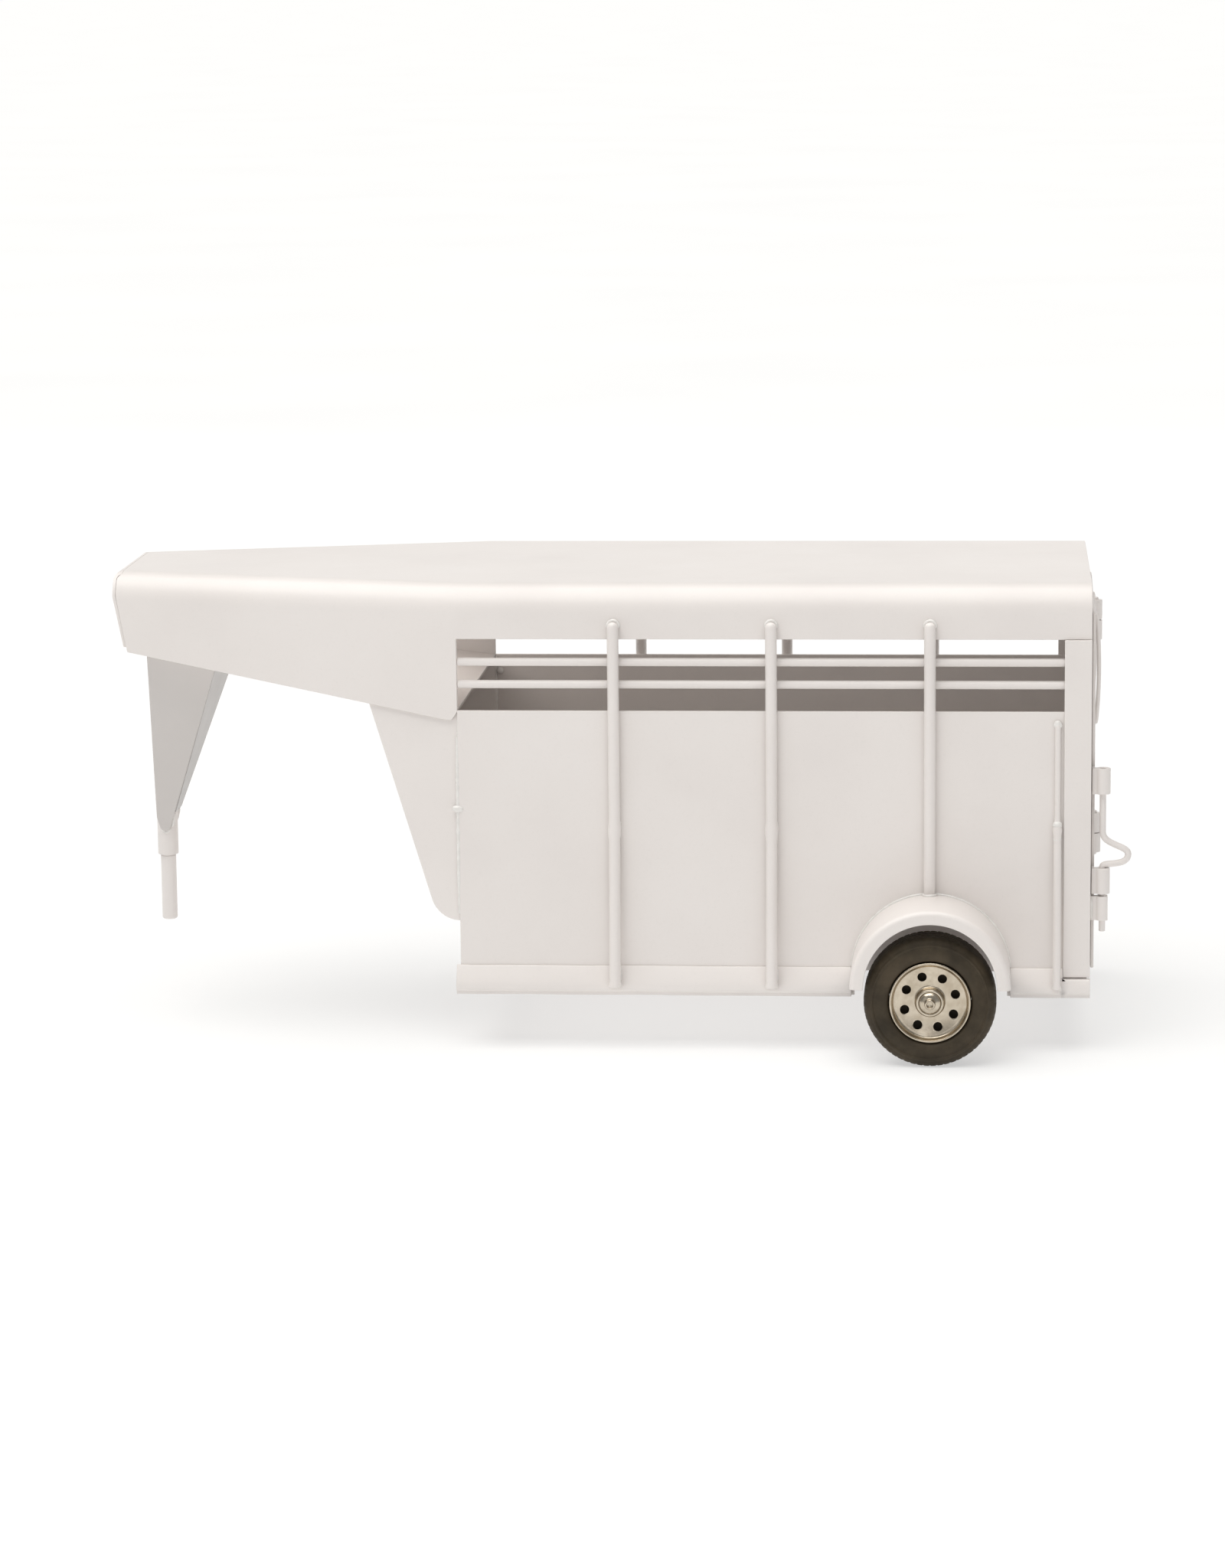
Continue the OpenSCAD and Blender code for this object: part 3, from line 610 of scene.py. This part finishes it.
def base_rail(side, sign):
    """A flange pressed out of the side's foot: it flares outwards over a small step."""
    step = [(0, 0), (2.8, 0), (2.9, 1.5)]
    flare = smooth_path([(3.9, 1.75, 0), (4.1, 2.6, 0), (3.75, 4.9, 0), (2.2, 8.3, 0), (0.75, 11.0, 0)], 4)
    outline = [(out, up) for out, up in step] + [(p.x, p.y) for p in flare] + [(0, 11.1)]

    def section(most):
        """The outline in Y and Z, cut off at the height most."""
        return [(sign * (SIDE_Y + out * MM), RAIL_BOTTOM + min(up * MM, most)) for out, up in outline]

    full = RAIL_HIGH.z - RAIL_BOTTOM
    under_post = POST_FOOT.z - 0.5 * MM - RAIL_BOTTOM
    post_x = POST_FOOT.x - POST_GAP
    bm = bmesh.new()
    loft_along_x(bm, section(full), RAIL_LOW.x, AXLE_X - FENDER_HALF, 48)
    loft_along_x(bm, section(full), AXLE_X + FENDER_HALF, post_x, 10)
    loft_along_x(bm, section(under_post), post_x, BOX_REAR, 4)
    bmesh.ops.remove_doubles(bm, verts=bm.verts, dist=1e-7)
    bmesh.ops.recalc_face_normals(bm, faces=bm.faces)
    piece = piece_from(bm, side + "_rail_flange", "trailer", PAINT, [side + "_base_rail"])
    soften(piece, 0.2 * MM, 40)


def swelling(z, centre, half, most):
    """How much thicker a rod is at z because of the weld at centre."""
    t = abs(z - centre) / half
    return most * (1 - t * t) ** 2 if t < 1 else 0.0


def leaning_rod(side, sign, name, bend_z, thin=1.0, sunk=1.0):
    """An upright rod that leans out over the base rail below bend_z, where it was welded up.

    Above bend_z, thin multiplies its radius and sunk its middle's distance from the wall.
    """
    low, high = span(side + "_rod_" + name)
    r = (high.x - low.x) / 2
    x = (high.x + low.x) / 2
    foot = low.z + 0.4 * MM
    path, radii = [], []
    for i in range(ROD_STEPS + 1):
        z = high.z + (foot - high.z) * i / ROD_STEPS
        above = z > bend_z
        out = r * (sunk if above else 1.0) + FLARE * max(0.0, (bend_z - z) / (bend_z - low.z))
        weld = swelling(z, bend_z, 3.6 * MM, 0.42 * MM) + swelling(z, low.z, 2.5 * MM, 0.5 * MM)
        path.append(Vector((x, sign * (SIDE_Y + out), z)))
        radii.append(r * (thin if above else 1.0) + weld)
    bm = bmesh.new()
    bar(bm, path, r, 28, (True, False), radii)
    piece = piece_from(bm, side + "_rod_" + name + "_bar", "trailer", PAINT, [side + "_rod_" + name])
    piece.modifiers.new("even_shading", "WEIGHTED_NORMAL").keep_sharp = False


def straight_bar(bm, node, along_axis, domes):
    """Adds a straight round bar that fills a CAD bar's box along one axis."""
    low, high = span(node)
    middle = (low + high) / 2
    start, stop = middle.copy(), middle.copy()
    start[along_axis], stop[along_axis] = low[along_axis], high[along_axis]
    r = (high - low)[(along_axis + 1) % 3] / 2
    path = [start.lerp(stop, i / 24) for i in range(25)]
    bar(bm, path, r, 24, domes)


def rods_and_bars():
    """The upright rods, and the bars across the windows."""
    for side, sign in SIDES:
        leaning_rod(side, sign, "front", ROD_BEND)
        leaning_rod(side, sign, "middle", ROD_BEND)
        leaning_rod(side, sign, "rear", REAR_ROD_BEND, thin=0.75, sunk=0.55)
        bm = bmesh.new()
        straight_bar(bm, side + "_rod_wheel", 2, (False, True))
        piece_from(bm, side + "_rod_wheel_bar", "trailer", PAINT, [side + "_rod_wheel"])
        for level in ("upper", "lower"):
            bm = bmesh.new()
            straight_bar(bm, f"{side}_bar_{level}", 0, (False, False))
            piece_from(bm, f"{side}_window_bar_{level}", "trailer", PAINT, [f"{side}_bar_{level}"])
    for level in ("upper", "lower"):
        bm = bmesh.new()
        straight_bar(bm, "gate_bar_" + level, 1, (False, False))
        piece_from(bm, "gate_window_bar_" + level, "gate", PAINT, ["gate_bar_" + level])


def gate_stiffeners():
    """Three short rods on the gate's outer face, bowed outwards between their welded ends."""
    low, high = span("gate_uprights")
    half = (high.x - low.x) / 2
    r = 0.8 * MM
    start_x = low.x + 0.2 * MM
    bow = high.x - r - start_x
    foot, head = low.z - 1.5 * MM, high.z + 4.0 * MM
    steps = 24
    bm = bmesh.new()
    for y in (low.y + half, (low.y + high.y) / 2, high.y - half):
        path = []
        for i in range(steps + 1):
            x = start_x + bow * math.sin(math.pi * i / steps) ** 0.7
            path.append(Vector((x, y, foot + (head - foot) * i / steps)))
        bar(bm, path, r, 20)
    piece_from(bm, "gate_stiffeners", "gate", PAINT, ["gate_uprights"])


def fender(side, sign):
    """A half-round fender: a rolled band with a rounded crease into its flat outer lip."""
    low, high = span(side + "_fender")
    outer = (high.x - low.x) / 2
    depth = high.y - low.y
    lip = 5.1 * MM
    crease = 2.0 * MM
    section = [(outer, depth * t) for t in (0, 0.2, 0.4, 0.6, 0.8)]
    section += [(outer - crease + a, depth - crease + b) for a, b in arc(0, 0, crease, 0, 90, 8)]
    section += [(outer - lip + (lip - crease) * t, depth) for t in (0.6, 0.3, 0)]
    rows = len(section) - 1

    def point(u, v):
        r, out = section[round(v * rows)]
        a = math.pi * u
        return Vector((AXLE_X - r * math.cos(a), sign * (SIDE_Y + out), low.z + r * math.sin(a)))

    sheet_piece(side + "_fender_shell", point, 64, rows, "trailer", [side + "_fender"], flip=sign < 0)


for side, sign in SIDES:
    base_rail(side, sign)
    fender(side, sign)
rods_and_bars()
gate_stiffeners()


# ---------------------------------------------------------------------------
# Wheels
# ---------------------------------------------------------------------------

WHEEL_Y = -TYRE_HIGH.y
TYRE_MIDDLE = 9.0
TREAD_BLOCKS = 60
BLOCK_STEPS = 5
BOLT_CIRCLE = 10.0
HOLE_R = 1.75
HOLES = 8
HOLE_TURN = math.radians(17.4)
DISC_INNER = 6.4
DISC_OUTER = 12.8


def wheel_piece(bm, side, sign, name, look, node=None):
    """A piece that turns with a wheel. Its mesh is centred on the axle at the tyre's inner side."""
    at = (AXLE_X, sign * WHEEL_Y, AXLE_Z)
    stands_for = [f"{side}_{node}"] if node else ()
    return piece_from(bm, f"{side}_{name}", side + "_wheel", look, stands_for, at)


def turned(bm, outline, steps, sign, closed=False, wobble=None):
    """Adds a turned shape whose outline is in millimetres."""
    lathe(bm, [(r * MM, out * MM) for r, out in outline], steps, sign, closed, wobble)


def tyre(side, sign):
    """A ribbed tread with blocks along both shoulders, and a side wall with two raised rings."""
    half = [(24.3, TYRE_MIDDLE + 0.3), (25.0, TYRE_MIDDLE + 0.5)]
    half += [(25.0, 12.1), (24.3, 12.3), (24.3, 12.9), (25.0, 13.1)]
    half += [(25.0, 13.9), (24.9, 14.6), (24.6, 15.5), (24.1, 16.2), (23.4, 16.75), (22.9, 16.95)]
    half += [(22.55, 17.15), (22.35, 17.6), (22.0, 17.75), (21.6, 17.65), (21.35, 17.3)]
    half += [(20.6, 17.55), (19.4, 17.9), (18.2, 18.0), (17.2, 17.85), (16.4, 17.4), (15.9, 16.8)]
    half += [(15.6, 16.0)]
    outline = [(r, 2 * TYRE_MIDDLE - out) for r, out in reversed(half)] + half

    def blocks(k, r, out):
        shoulder = r > 23.9 * MM and abs(out - TYRE_MIDDLE * MM) > 4.6 * MM
        return -0.22 * MM if shoulder and k % BLOCK_STEPS == 0 else 0

    bm = bmesh.new()
    turned(bm, outline, BLOCK_STEPS * TREAD_BLOCKS, sign, True, blocks)
    soften(wheel_piece(bm, side, sign, "tyre_tread", RUBBER, "tyre"), 0.12 * MM, 50, 1)


def disc_depth(r):
    """How far out the rim's dished disc stands at radius r, in millimetres."""
    return 14.75 + 0.75 * ((r - DISC_INNER) / (DISC_OUTER - DISC_INNER)) ** 1.6


def sector_outline(across, down):
    """Points round a square from -1 to 1, clockwise from its upper left corner."""
    top = [(-1 + 2 * i / across, 1.0) for i in range(across)]
    right = [(1.0, 1 - 2 * i / down) for i in range(down)]
    bottom = [(1 - 2 * i / across, -1.0) for i in range(across)]
    left = [(-1.0, -1 + 2 * i / down) for i in range(down)]
    return top + right + bottom + left


def disc_with_holes(bm, sign):
    """Adds the rim's disc: eight equal sectors, each with one round hole."""
    sector = 2 * math.pi / HOLES
    layers = 4

    def vert(r, turn):
        return bm.verts.new((r * MM * math.cos(turn), sign * disc_depth(r) * MM, r * MM * math.sin(turn)))

    for hole in range(HOLES):
        middle = HOLE_TURN + hole * sector
        rings = []
        for layer in range(layers + 1):
            t = (layer / layers) ** 1.3
            ring = []
            for u, v in sector_outline(12, 8):
                edge_r = (DISC_INNER + DISC_OUTER) / 2 + v * (DISC_OUTER - DISC_INNER) / 2
                edge_turn = u * sector / 2
                way = math.atan2(edge_r - BOLT_CIRCLE, BOLT_CIRCLE * edge_turn)
                hole_u = BOLT_CIRCLE + HOLE_R * math.sin(way)
                hole_v = HOLE_R * math.cos(way)
                r = math.hypot(hole_u, hole_v) * (1 - t) + edge_r * t
                ring.append(vert(r, middle + math.atan2(hole_v, hole_u) * (1 - t) + edge_turn * t))
            rings.append(ring)
        for near, far in zip(rings, rings[1:]):
            for k in range(len(near)):
                m = (k + 1) % len(near)
                bm.faces.new((near[k], near[m], far[m], far[k]))


def rim(side, sign):
    """A spun rim: barrel, rolled bead, dished disc with eight holes, and a raised hub."""
    steps = HOLES * 12
    bead = [(15.45, 0.6), (15.45, 5), (15.45, 10), (15.45, 16.2), (15.45, 16.9)]
    bead += arc(14.95, 17.0, 0.5, 0, 180, 8)
    bead += [(14.3, 16.6), (14.0, 16.0), (13.6, 15.65), (13.2, 15.53), (DISC_OUTER, disc_depth(DISC_OUTER))]
    hub = [(DISC_INNER, disc_depth(DISC_INNER)), (5.95, 14.8), (5.6, 15.1), (5.4, 15.7), (5.25, 16.8)]
    hub += arc(4.75, 17.1, 0.5, 10, 90, 5) + [(4.35, 17.6)]
    bm = bmesh.new()
    for outline in (bead, hub):
        turned(bm, outline, steps, sign)
    bmesh.ops.transform(bm, matrix=Matrix.Rotation(-HOLE_TURN, 4, "Y"), verts=bm.verts)
    disc_with_holes(bm, sign)
    bmesh.ops.remove_doubles(bm, verts=bm.verts, dist=0.02 * MM)
    bmesh.ops.recalc_face_normals(bm, faces=bm.faces)
    past_holes = 12.4 * MM
    disc_face = min(bm.faces, key=lambda f: abs(f.calc_center_median().xz.length - past_holes))
    if disc_face.normal.y * sign < 0:
        bmesh.ops.reverse_faces(bm, faces=bm.faces)
    piece = wheel_piece(bm, side, sign, "rim_spun", CHROME, "rim")
    solid = piece.modifiers.new("thickness", "SOLIDIFY")
    solid.thickness = 0.8 * MM
    solid.offset = -1
    soften(piece, 0.12 * MM, 50, 2)


def wheel_web(side, sign):
    """The tyre's inner wall, which closes the wheel behind the rim's disc."""
    outline = [(2.7, 10.0), (4.8, 10.0), (5.6, 9.6), (9, 9.4), (13, 9.6), (14.2, 10.2), (14.2, 11.2)]
    outline += [(13, 10.7), (9, 10.5), (5.6, 10.7), (4.8, 11.2), (2.7, 11.2)]
    bm = bmesh.new()
    turned(bm, outline, 72, sign, True)
    soften(wheel_piece(bm, side, sign, "wheel_web", RUBBER), 0.1 * MM, 40, 1)


def hub_cap(side, sign):
    """A domed cap with a hollow-headed bolt at its middle."""
    outline = [(0, 16.6), (4.3, 16.6), (4.3, 17.5), (4.1, 17.9), (3.6, 18.4), (2.9, 18.8), (2.3, 19.0)]
    outline += [(2.05, 19.15), (2.0, 19.5), (2.0, 20.2), (1.9, 20.45), (1.65, 20.6), (1.35, 20.6)]
    outline += [(1.2, 20.5), (1.1, 20.2), (1.05, 19.5), (0, 19.4)]
    bm = bmesh.new()
    turned(bm, outline, 64, sign)
    soften(wheel_piece(bm, side, sign, "hub_dome", CHROME, "hub_cap"), 0.1 * MM, 40, 2)


for side, sign in SIDES:
    tyre(side, sign)
    rim(side, sign)
    wheel_web(side, sign)
    hub_cap(side, sign)


# ---------------------------------------------------------------------------
# Latch
# ---------------------------------------------------------------------------

def cubic(a, b, c, d, steps):
    """Points along a cubic curve from a to d with handles b and c."""
    result = []
    for i in range(steps + 1):
        t = i / steps
        result.append(a * (1 - t) ** 3 + b * 3 * t * (1 - t) ** 2 + c * 3 * t * t * (1 - t) + d * t ** 3)
    return result


def latch():
    """The bolt is one bent rod with a loop to pull it up by."""
    low, high = span("latch_bolt")
    r = (high.y - low.y) / 2
    stem, tip = low.x + r, high.x - r
    foot, middle, head = low.z + 25 * MM, low.z + 30 * MM, low.z + 38.5 * MM

    def spot(x, z):
        return Vector((x, low.y + r, z))

    out = (spot(stem, foot), spot(stem, foot + 2.3 * MM), spot(tip, foot - 0.4 * MM), spot(tip, middle))
    back = (spot(tip, middle), spot(tip, middle + 3.3 * MM), spot(stem, head - 5.2 * MM), spot(stem, head))
    path = [spot(stem, low.z), spot(stem, (low.z + foot) / 2)]
    path += cubic(*out, 16) + cubic(*back, 16)[1:]
    path += [spot(stem, (high.z + head) / 2), spot(stem, high.z)]
    bm = bmesh.new()
    bar(bm, path, r - 0.02 * MM, 20, (False, False))
    piece_from(bm, "latch_bolt_rod", "latch_bolt", PAINT, ["latch_bolt"])


latch()


# ---------------------------------------------------------------------------
# Weld beads under the enamel
# ---------------------------------------------------------------------------

BEAD_STEP = 0.45 * MM
LUMP_SIZE = 1.3 * MM


def bead(bm, points, radius):
    """Adds a lumpy weld bead along a polyline."""
    walk, length = along(points)
    count = max(5, int(length / BEAD_STEP))
    path = [walk(i / count) for i in range(count + 1)]
    shift = DICE.uniform(0, 50)
    radii = []
    for i, spot in enumerate(path):
        lump = noise.noise(spot / LUMP_SIZE + Vector((shift, 0, 0)))
        radii.append(radius * (1 + 0.22 * lump) * (0.55 + 0.45 * fade(i / count, 0.2)))
    bar(bm, path, radius, 10, (True, True), radii)


def blob(bm, at, size):
    """Adds a lumpy, flattened drop of weld. size holds its half widths in millimetres."""
    made = bmesh.ops.create_icosphere(bm, subdivisions=3, radius=1)["verts"]
    shift = Vector((DICE.uniform(0, 50), 0, 0))
    for vert in made:
        lump = 1 + 0.16 * noise.noise(vert.co * 1.7 + shift)
        vert.co = Vector([c * half * MM * lump for c, half in zip(vert.co, size)]) + Vector(at)


def rod_welds(bm, spot, low, high, leans):
    """Beads round an upright rod's head, and beside its joint and foot, or round its lower end."""
    x, r = (low.x + high.x) / 2, (high.x - low.x) / 2
    head = [(r * math.sin(a), (r + 0.4 * MM) * math.cos(a)) for a in (-1.7, -1.1, -0.5, 0, 0.5, 1.1, 1.7)]
    bead(bm, [spot(x + across, 0.35 * MM, high.z - r + up) for across, up in head], 0.75 * MM)
    if leans:
        for edge in (x - (r - 0.3 * MM), x + (r - 0.3 * MM)):
            joint = [(0.4 * MM, ROD_BEND + up * MM) for up in (-2, 4)]
            foot = [(out * MM, RAIL_BOTTOM + up * MM) for out, up in ((3.2, 5.3), (2.2, 7.8), (1.1, 10.4))]
            for line in (joint, foot):
                bead(bm, [spot(edge, out, z) for out, z in line], 0.6 * MM)
    else:
        turns = [math.radians(a) for a in range(-60, 241, 30)]
        end = [spot(x + (r + 0.1 * MM) * math.cos(a), r + r * math.sin(a), low.z + 0.2 * MM) for a in turns]
        bead(bm, end, 0.6 * MM)


def side_welds(side, sign):
    """Beads at the rods, drops on the rear rod, the front corner's seams and the fender's arch."""
    bm = bmesh.new()
    panel_top = span(side + "_side_panel")[1].z
    seam_foot = span("front_wall")[0].z + 2.8 * MM

    def spot(x, out, z):
        """A point at x and z, out metres outside the side's wall."""
        return x, sign * (SIDE_Y + out), z

    for name in ("front", "middle", "wheel"):
        rod_welds(bm, spot, *span(f"{side}_rod_{name}"), name != "wheel")

    low, high = span(side + "_rod_rear")
    drops = (
        (high.z - 0.4 * MM, 0.7, (1.7, 1.0, 1.7)),
        (REAR_ROD_BEND + 1.2 * MM, 1.5, (1.8, 1.4, 1.5)),
        (REAR_ROD_BEND - 4.2 * MM, 1.8, (1.6, 1.4, 1.9)),
    )
    for z, out, size in drops:
        blob(bm, spot((low.x + high.x) / 2, out * MM, z), size)

    blob(bm, spot(BOX_FRONT - 0.3 * MM, -0.2 * MM, panel_top - 38.2 * MM), (2.2, 1.0, 1.4))
    for back, inside, below_top, radius in ((-0.2, 0.5, 10.2, 0.75), (0.2, 1.5, 0.7, 0.7)):
        x, out = BOX_FRONT + back * MM, -inside * MM
        bead(bm, [spot(x, out, seam_foot), spot(x, out, panel_top - below_top * MM)], radius * MM)
    blob(bm, spot(BOX_FRONT + 2.0 * MM, -2.0 * MM, panel_top - 6.7 * MM), (1.5, 1.0, 1.5))

    arch = FENDER_HALF + 0.15 * MM
    turns = [math.radians(a) for a in range(4, 177, 4)]
    arch_line = [(AXLE_X + arch * math.cos(a), FENDER_LOW.z + arch * math.sin(a)) for a in turns]
    bead(bm, [spot(x, 0.25 * MM, z) for x, z in arch_line], 0.55 * MM)
    piece_from(bm, side + "_welds", "trailer", WELD)


def coupler_welds():
    """Beads up the tube's flanks, where the side plates meet it, and under their lower ends."""
    bm = bmesh.new()
    low, high = span("coupler_tube")
    x, r = (low.x + high.x) / 2, (high.x - low.x) / 2
    flank = ((2.4, -0.4, -6.4), (3.9, 1.4, -0.4))
    under = ((-2.0, -0.5, -7.3), (0.0, 0.1, -8.5), (2.0, -0.4, -7.3))
    for sign in (LEFT, RIGHT):
        for line, radius in ((flank, 0.7), (under, 0.6)):
            points = [(x + dx * MM, sign * (r + out * MM), high.z + up * MM) for dx, out, up in line]
            bead(bm, points, radius * MM)
    piece_from(bm, "coupler_welds", "trailer", WELD)


def tab_welds(bm, middle_y, low_z, high_z):
    """A bead down both sides of a tab on the rear post."""
    x, half, inset = BOX_REAR + 0.35 * MM, 1.6 * MM, 0.6 * MM
    for y in (middle_y - half, middle_y + half):
        bead(bm, [(x, y, low_z + inset), (x, y, high_z - inset)], 0.5 * MM)


def rear_welds():
    """Fillets where the hinge tabs and the latch keeper meet the rear posts."""
    bm = bmesh.new()
    tab = 8 * MM
    low, high = span("frame_knuckles")
    tab_welds(bm, (low.y + high.y) / 2, low.z, low.z + tab)
    tab_welds(bm, (low.y + high.y) / 2, high.z - tab, high.z)
    low, high = span("latch_keeper")
    tab_welds(bm, (low.y + high.y) / 2, low.z, high.z)
    piece_from(bm, "rear_welds", "trailer", WELD)


for side, sign in SIDES:
    side_welds(side, sign)
coupler_welds()
rear_welds()


# ---------------------------------------------------------------------------
# Floor, lights and camera
# ---------------------------------------------------------------------------

def studio_floor():
    """A floor that reaches past the horizon. It glows a little, so that it shows as white paper."""
    bm = bmesh.new()
    reach = 60.0
    grid(bm, lambda u, v: Vector(((u - 0.5) * 2 * reach, (v - 0.5) * 2 * reach, 0)), 8, 8)
    mesh = bpy.data.meshes.new("studio_floor")
    bm.to_mesh(mesh)
    bm.free()
    floor = bpy.data.objects.new("studio_floor", mesh)
    bpy.context.collection.objects.link(floor)
    look = Look("studio_floor", "none")
    tint = look.ramp(look.noise(3, 2), (0.3, (0.46, 0.46, 0.455)), (0.7, (0.48, 0.48, 0.475)))
    look.set(Base_Color=tint, Roughness=0.9)
    look.shader.inputs["Emission Color"].default_value = (1, 1, 1, 1)
    look.shader.inputs["Emission Strength"].default_value = 0.515
    look.shader.inputs["Specular IOR Level"].default_value = 0.1
    mesh.materials.append(look.material)


SOFT_WHITE = (1, 0.99, 0.97)
FILL_WHITE = (1, 0.99, 0.98)
INSIDE_WHITE = (1, 0.98, 0.95)
SOFTBOXES = (
    # name, place, aim, width, height, power, colour
    ("strip_top", (0.0, -0.95, 1.25), (0, 0, 0.12), 1.6, 0.16, 2.3, SOFT_WHITE),
    ("strip_back", (0.0, 2.2, 0.55), (0, 0, 0.17), 2.6, 0.5, 2.4, SOFT_WHITE),
    ("fill_left", (-0.30, -0.80, 0.30), (-0.05, 0, 0.12), 0.5, 0.4, 0.19, FILL_WHITE),
    ("fill_front", (0.17, -0.85, 0.17), (0.0, 0, 0.12), 0.12, 0.22, 0.14, FILL_WHITE),
    ("fill_box", (0.06, 0, 0.172), (0.06, 0, 0), 0.20, 0.10, 0.014, INSIDE_WHITE),
    ("fill_nose", (-0.10, 0, 0.172), (-0.10, 0, 0), 0.07, 0.07, 0.025, INSIDE_WHITE),
)


def softbox(name, at, aim, width, height, power, colour):
    """A rectangular soft light, unseen by the camera."""
    data = bpy.data.lights.new(name, "AREA")
    data.shape = "RECTANGLE"
    data.size = width
    data.size_y = height
    data.energy = power
    data.color = colour
    light = bpy.data.objects.new(name, data)
    light.location = at
    light.rotation_euler = (Vector(aim) - Vector(at)).to_track_quat("-Z", "Y").to_euler()
    light.visible_camera = False
    bpy.context.collection.objects.link(light)


def broad_light(name, towards, strength, spread, colour):
    """A distant soft light. towards points from the object to the light."""
    data = bpy.data.lights.new(name, "SUN")
    data.energy = strength * math.pi
    data.angle = math.radians(spread)
    data.color = colour
    light = bpy.data.objects.new(name, data)
    light.rotation_euler = Vector(towards).to_track_quat("Z", "Y").to_euler()
    bpy.context.collection.objects.link(light)


def studio_light():
    """A broad key from above, strips whose reflections shape the roof, and fills inside the box."""
    world = bpy.data.worlds.new("studio")
    bpy.context.scene.world = world
    world.use_nodes = True
    backdrop = world.node_tree.nodes["Background"]
    backdrop.inputs["Color"].default_value = (1, 0.997, 0.99, 1)
    backdrop.inputs["Strength"].default_value = 0.28
    broad_light("key", (-0.12, -0.05, 0.62), 0.78, 62, (1, 0.99, 0.965))
    for lamp in SOFTBOXES:
        softbox(*lamp)


def camera():
    """The photograph's viewpoint: close to side on, slightly above, with a long lens."""
    place = (0.13861, -1.83316, 0.41805)
    yaw, pitch, roll = (math.radians(a) for a in (4.5106, 10.118, -0.5831))
    ahead = Vector((-math.sin(yaw) * math.cos(pitch), math.cos(yaw) * math.cos(pitch), -math.sin(pitch)))
    side = Vector((math.cos(yaw), math.sin(yaw), 0))
    up = side.cross(ahead)
    right = side * math.cos(roll) + up * math.sin(roll)
    above = up * math.cos(roll) - side * math.sin(roll)
    data = bpy.data.cameras.new("camera")
    data.lens = 107.96
    data.sensor_width = 36
    data.clip_start = 0.05
    data.clip_end = 300
    view = bpy.data.objects.new("camera", data)
    bpy.context.collection.objects.link(view)
    turn = Matrix((right, above, -ahead)).transposed().to_4x4()
    view.matrix_world = Matrix.Translation(place) @ turn
    bpy.context.scene.camera = view


studio_floor()
studio_light()
camera()
bpy.context.scene.view_settings.view_transform = "Standard"
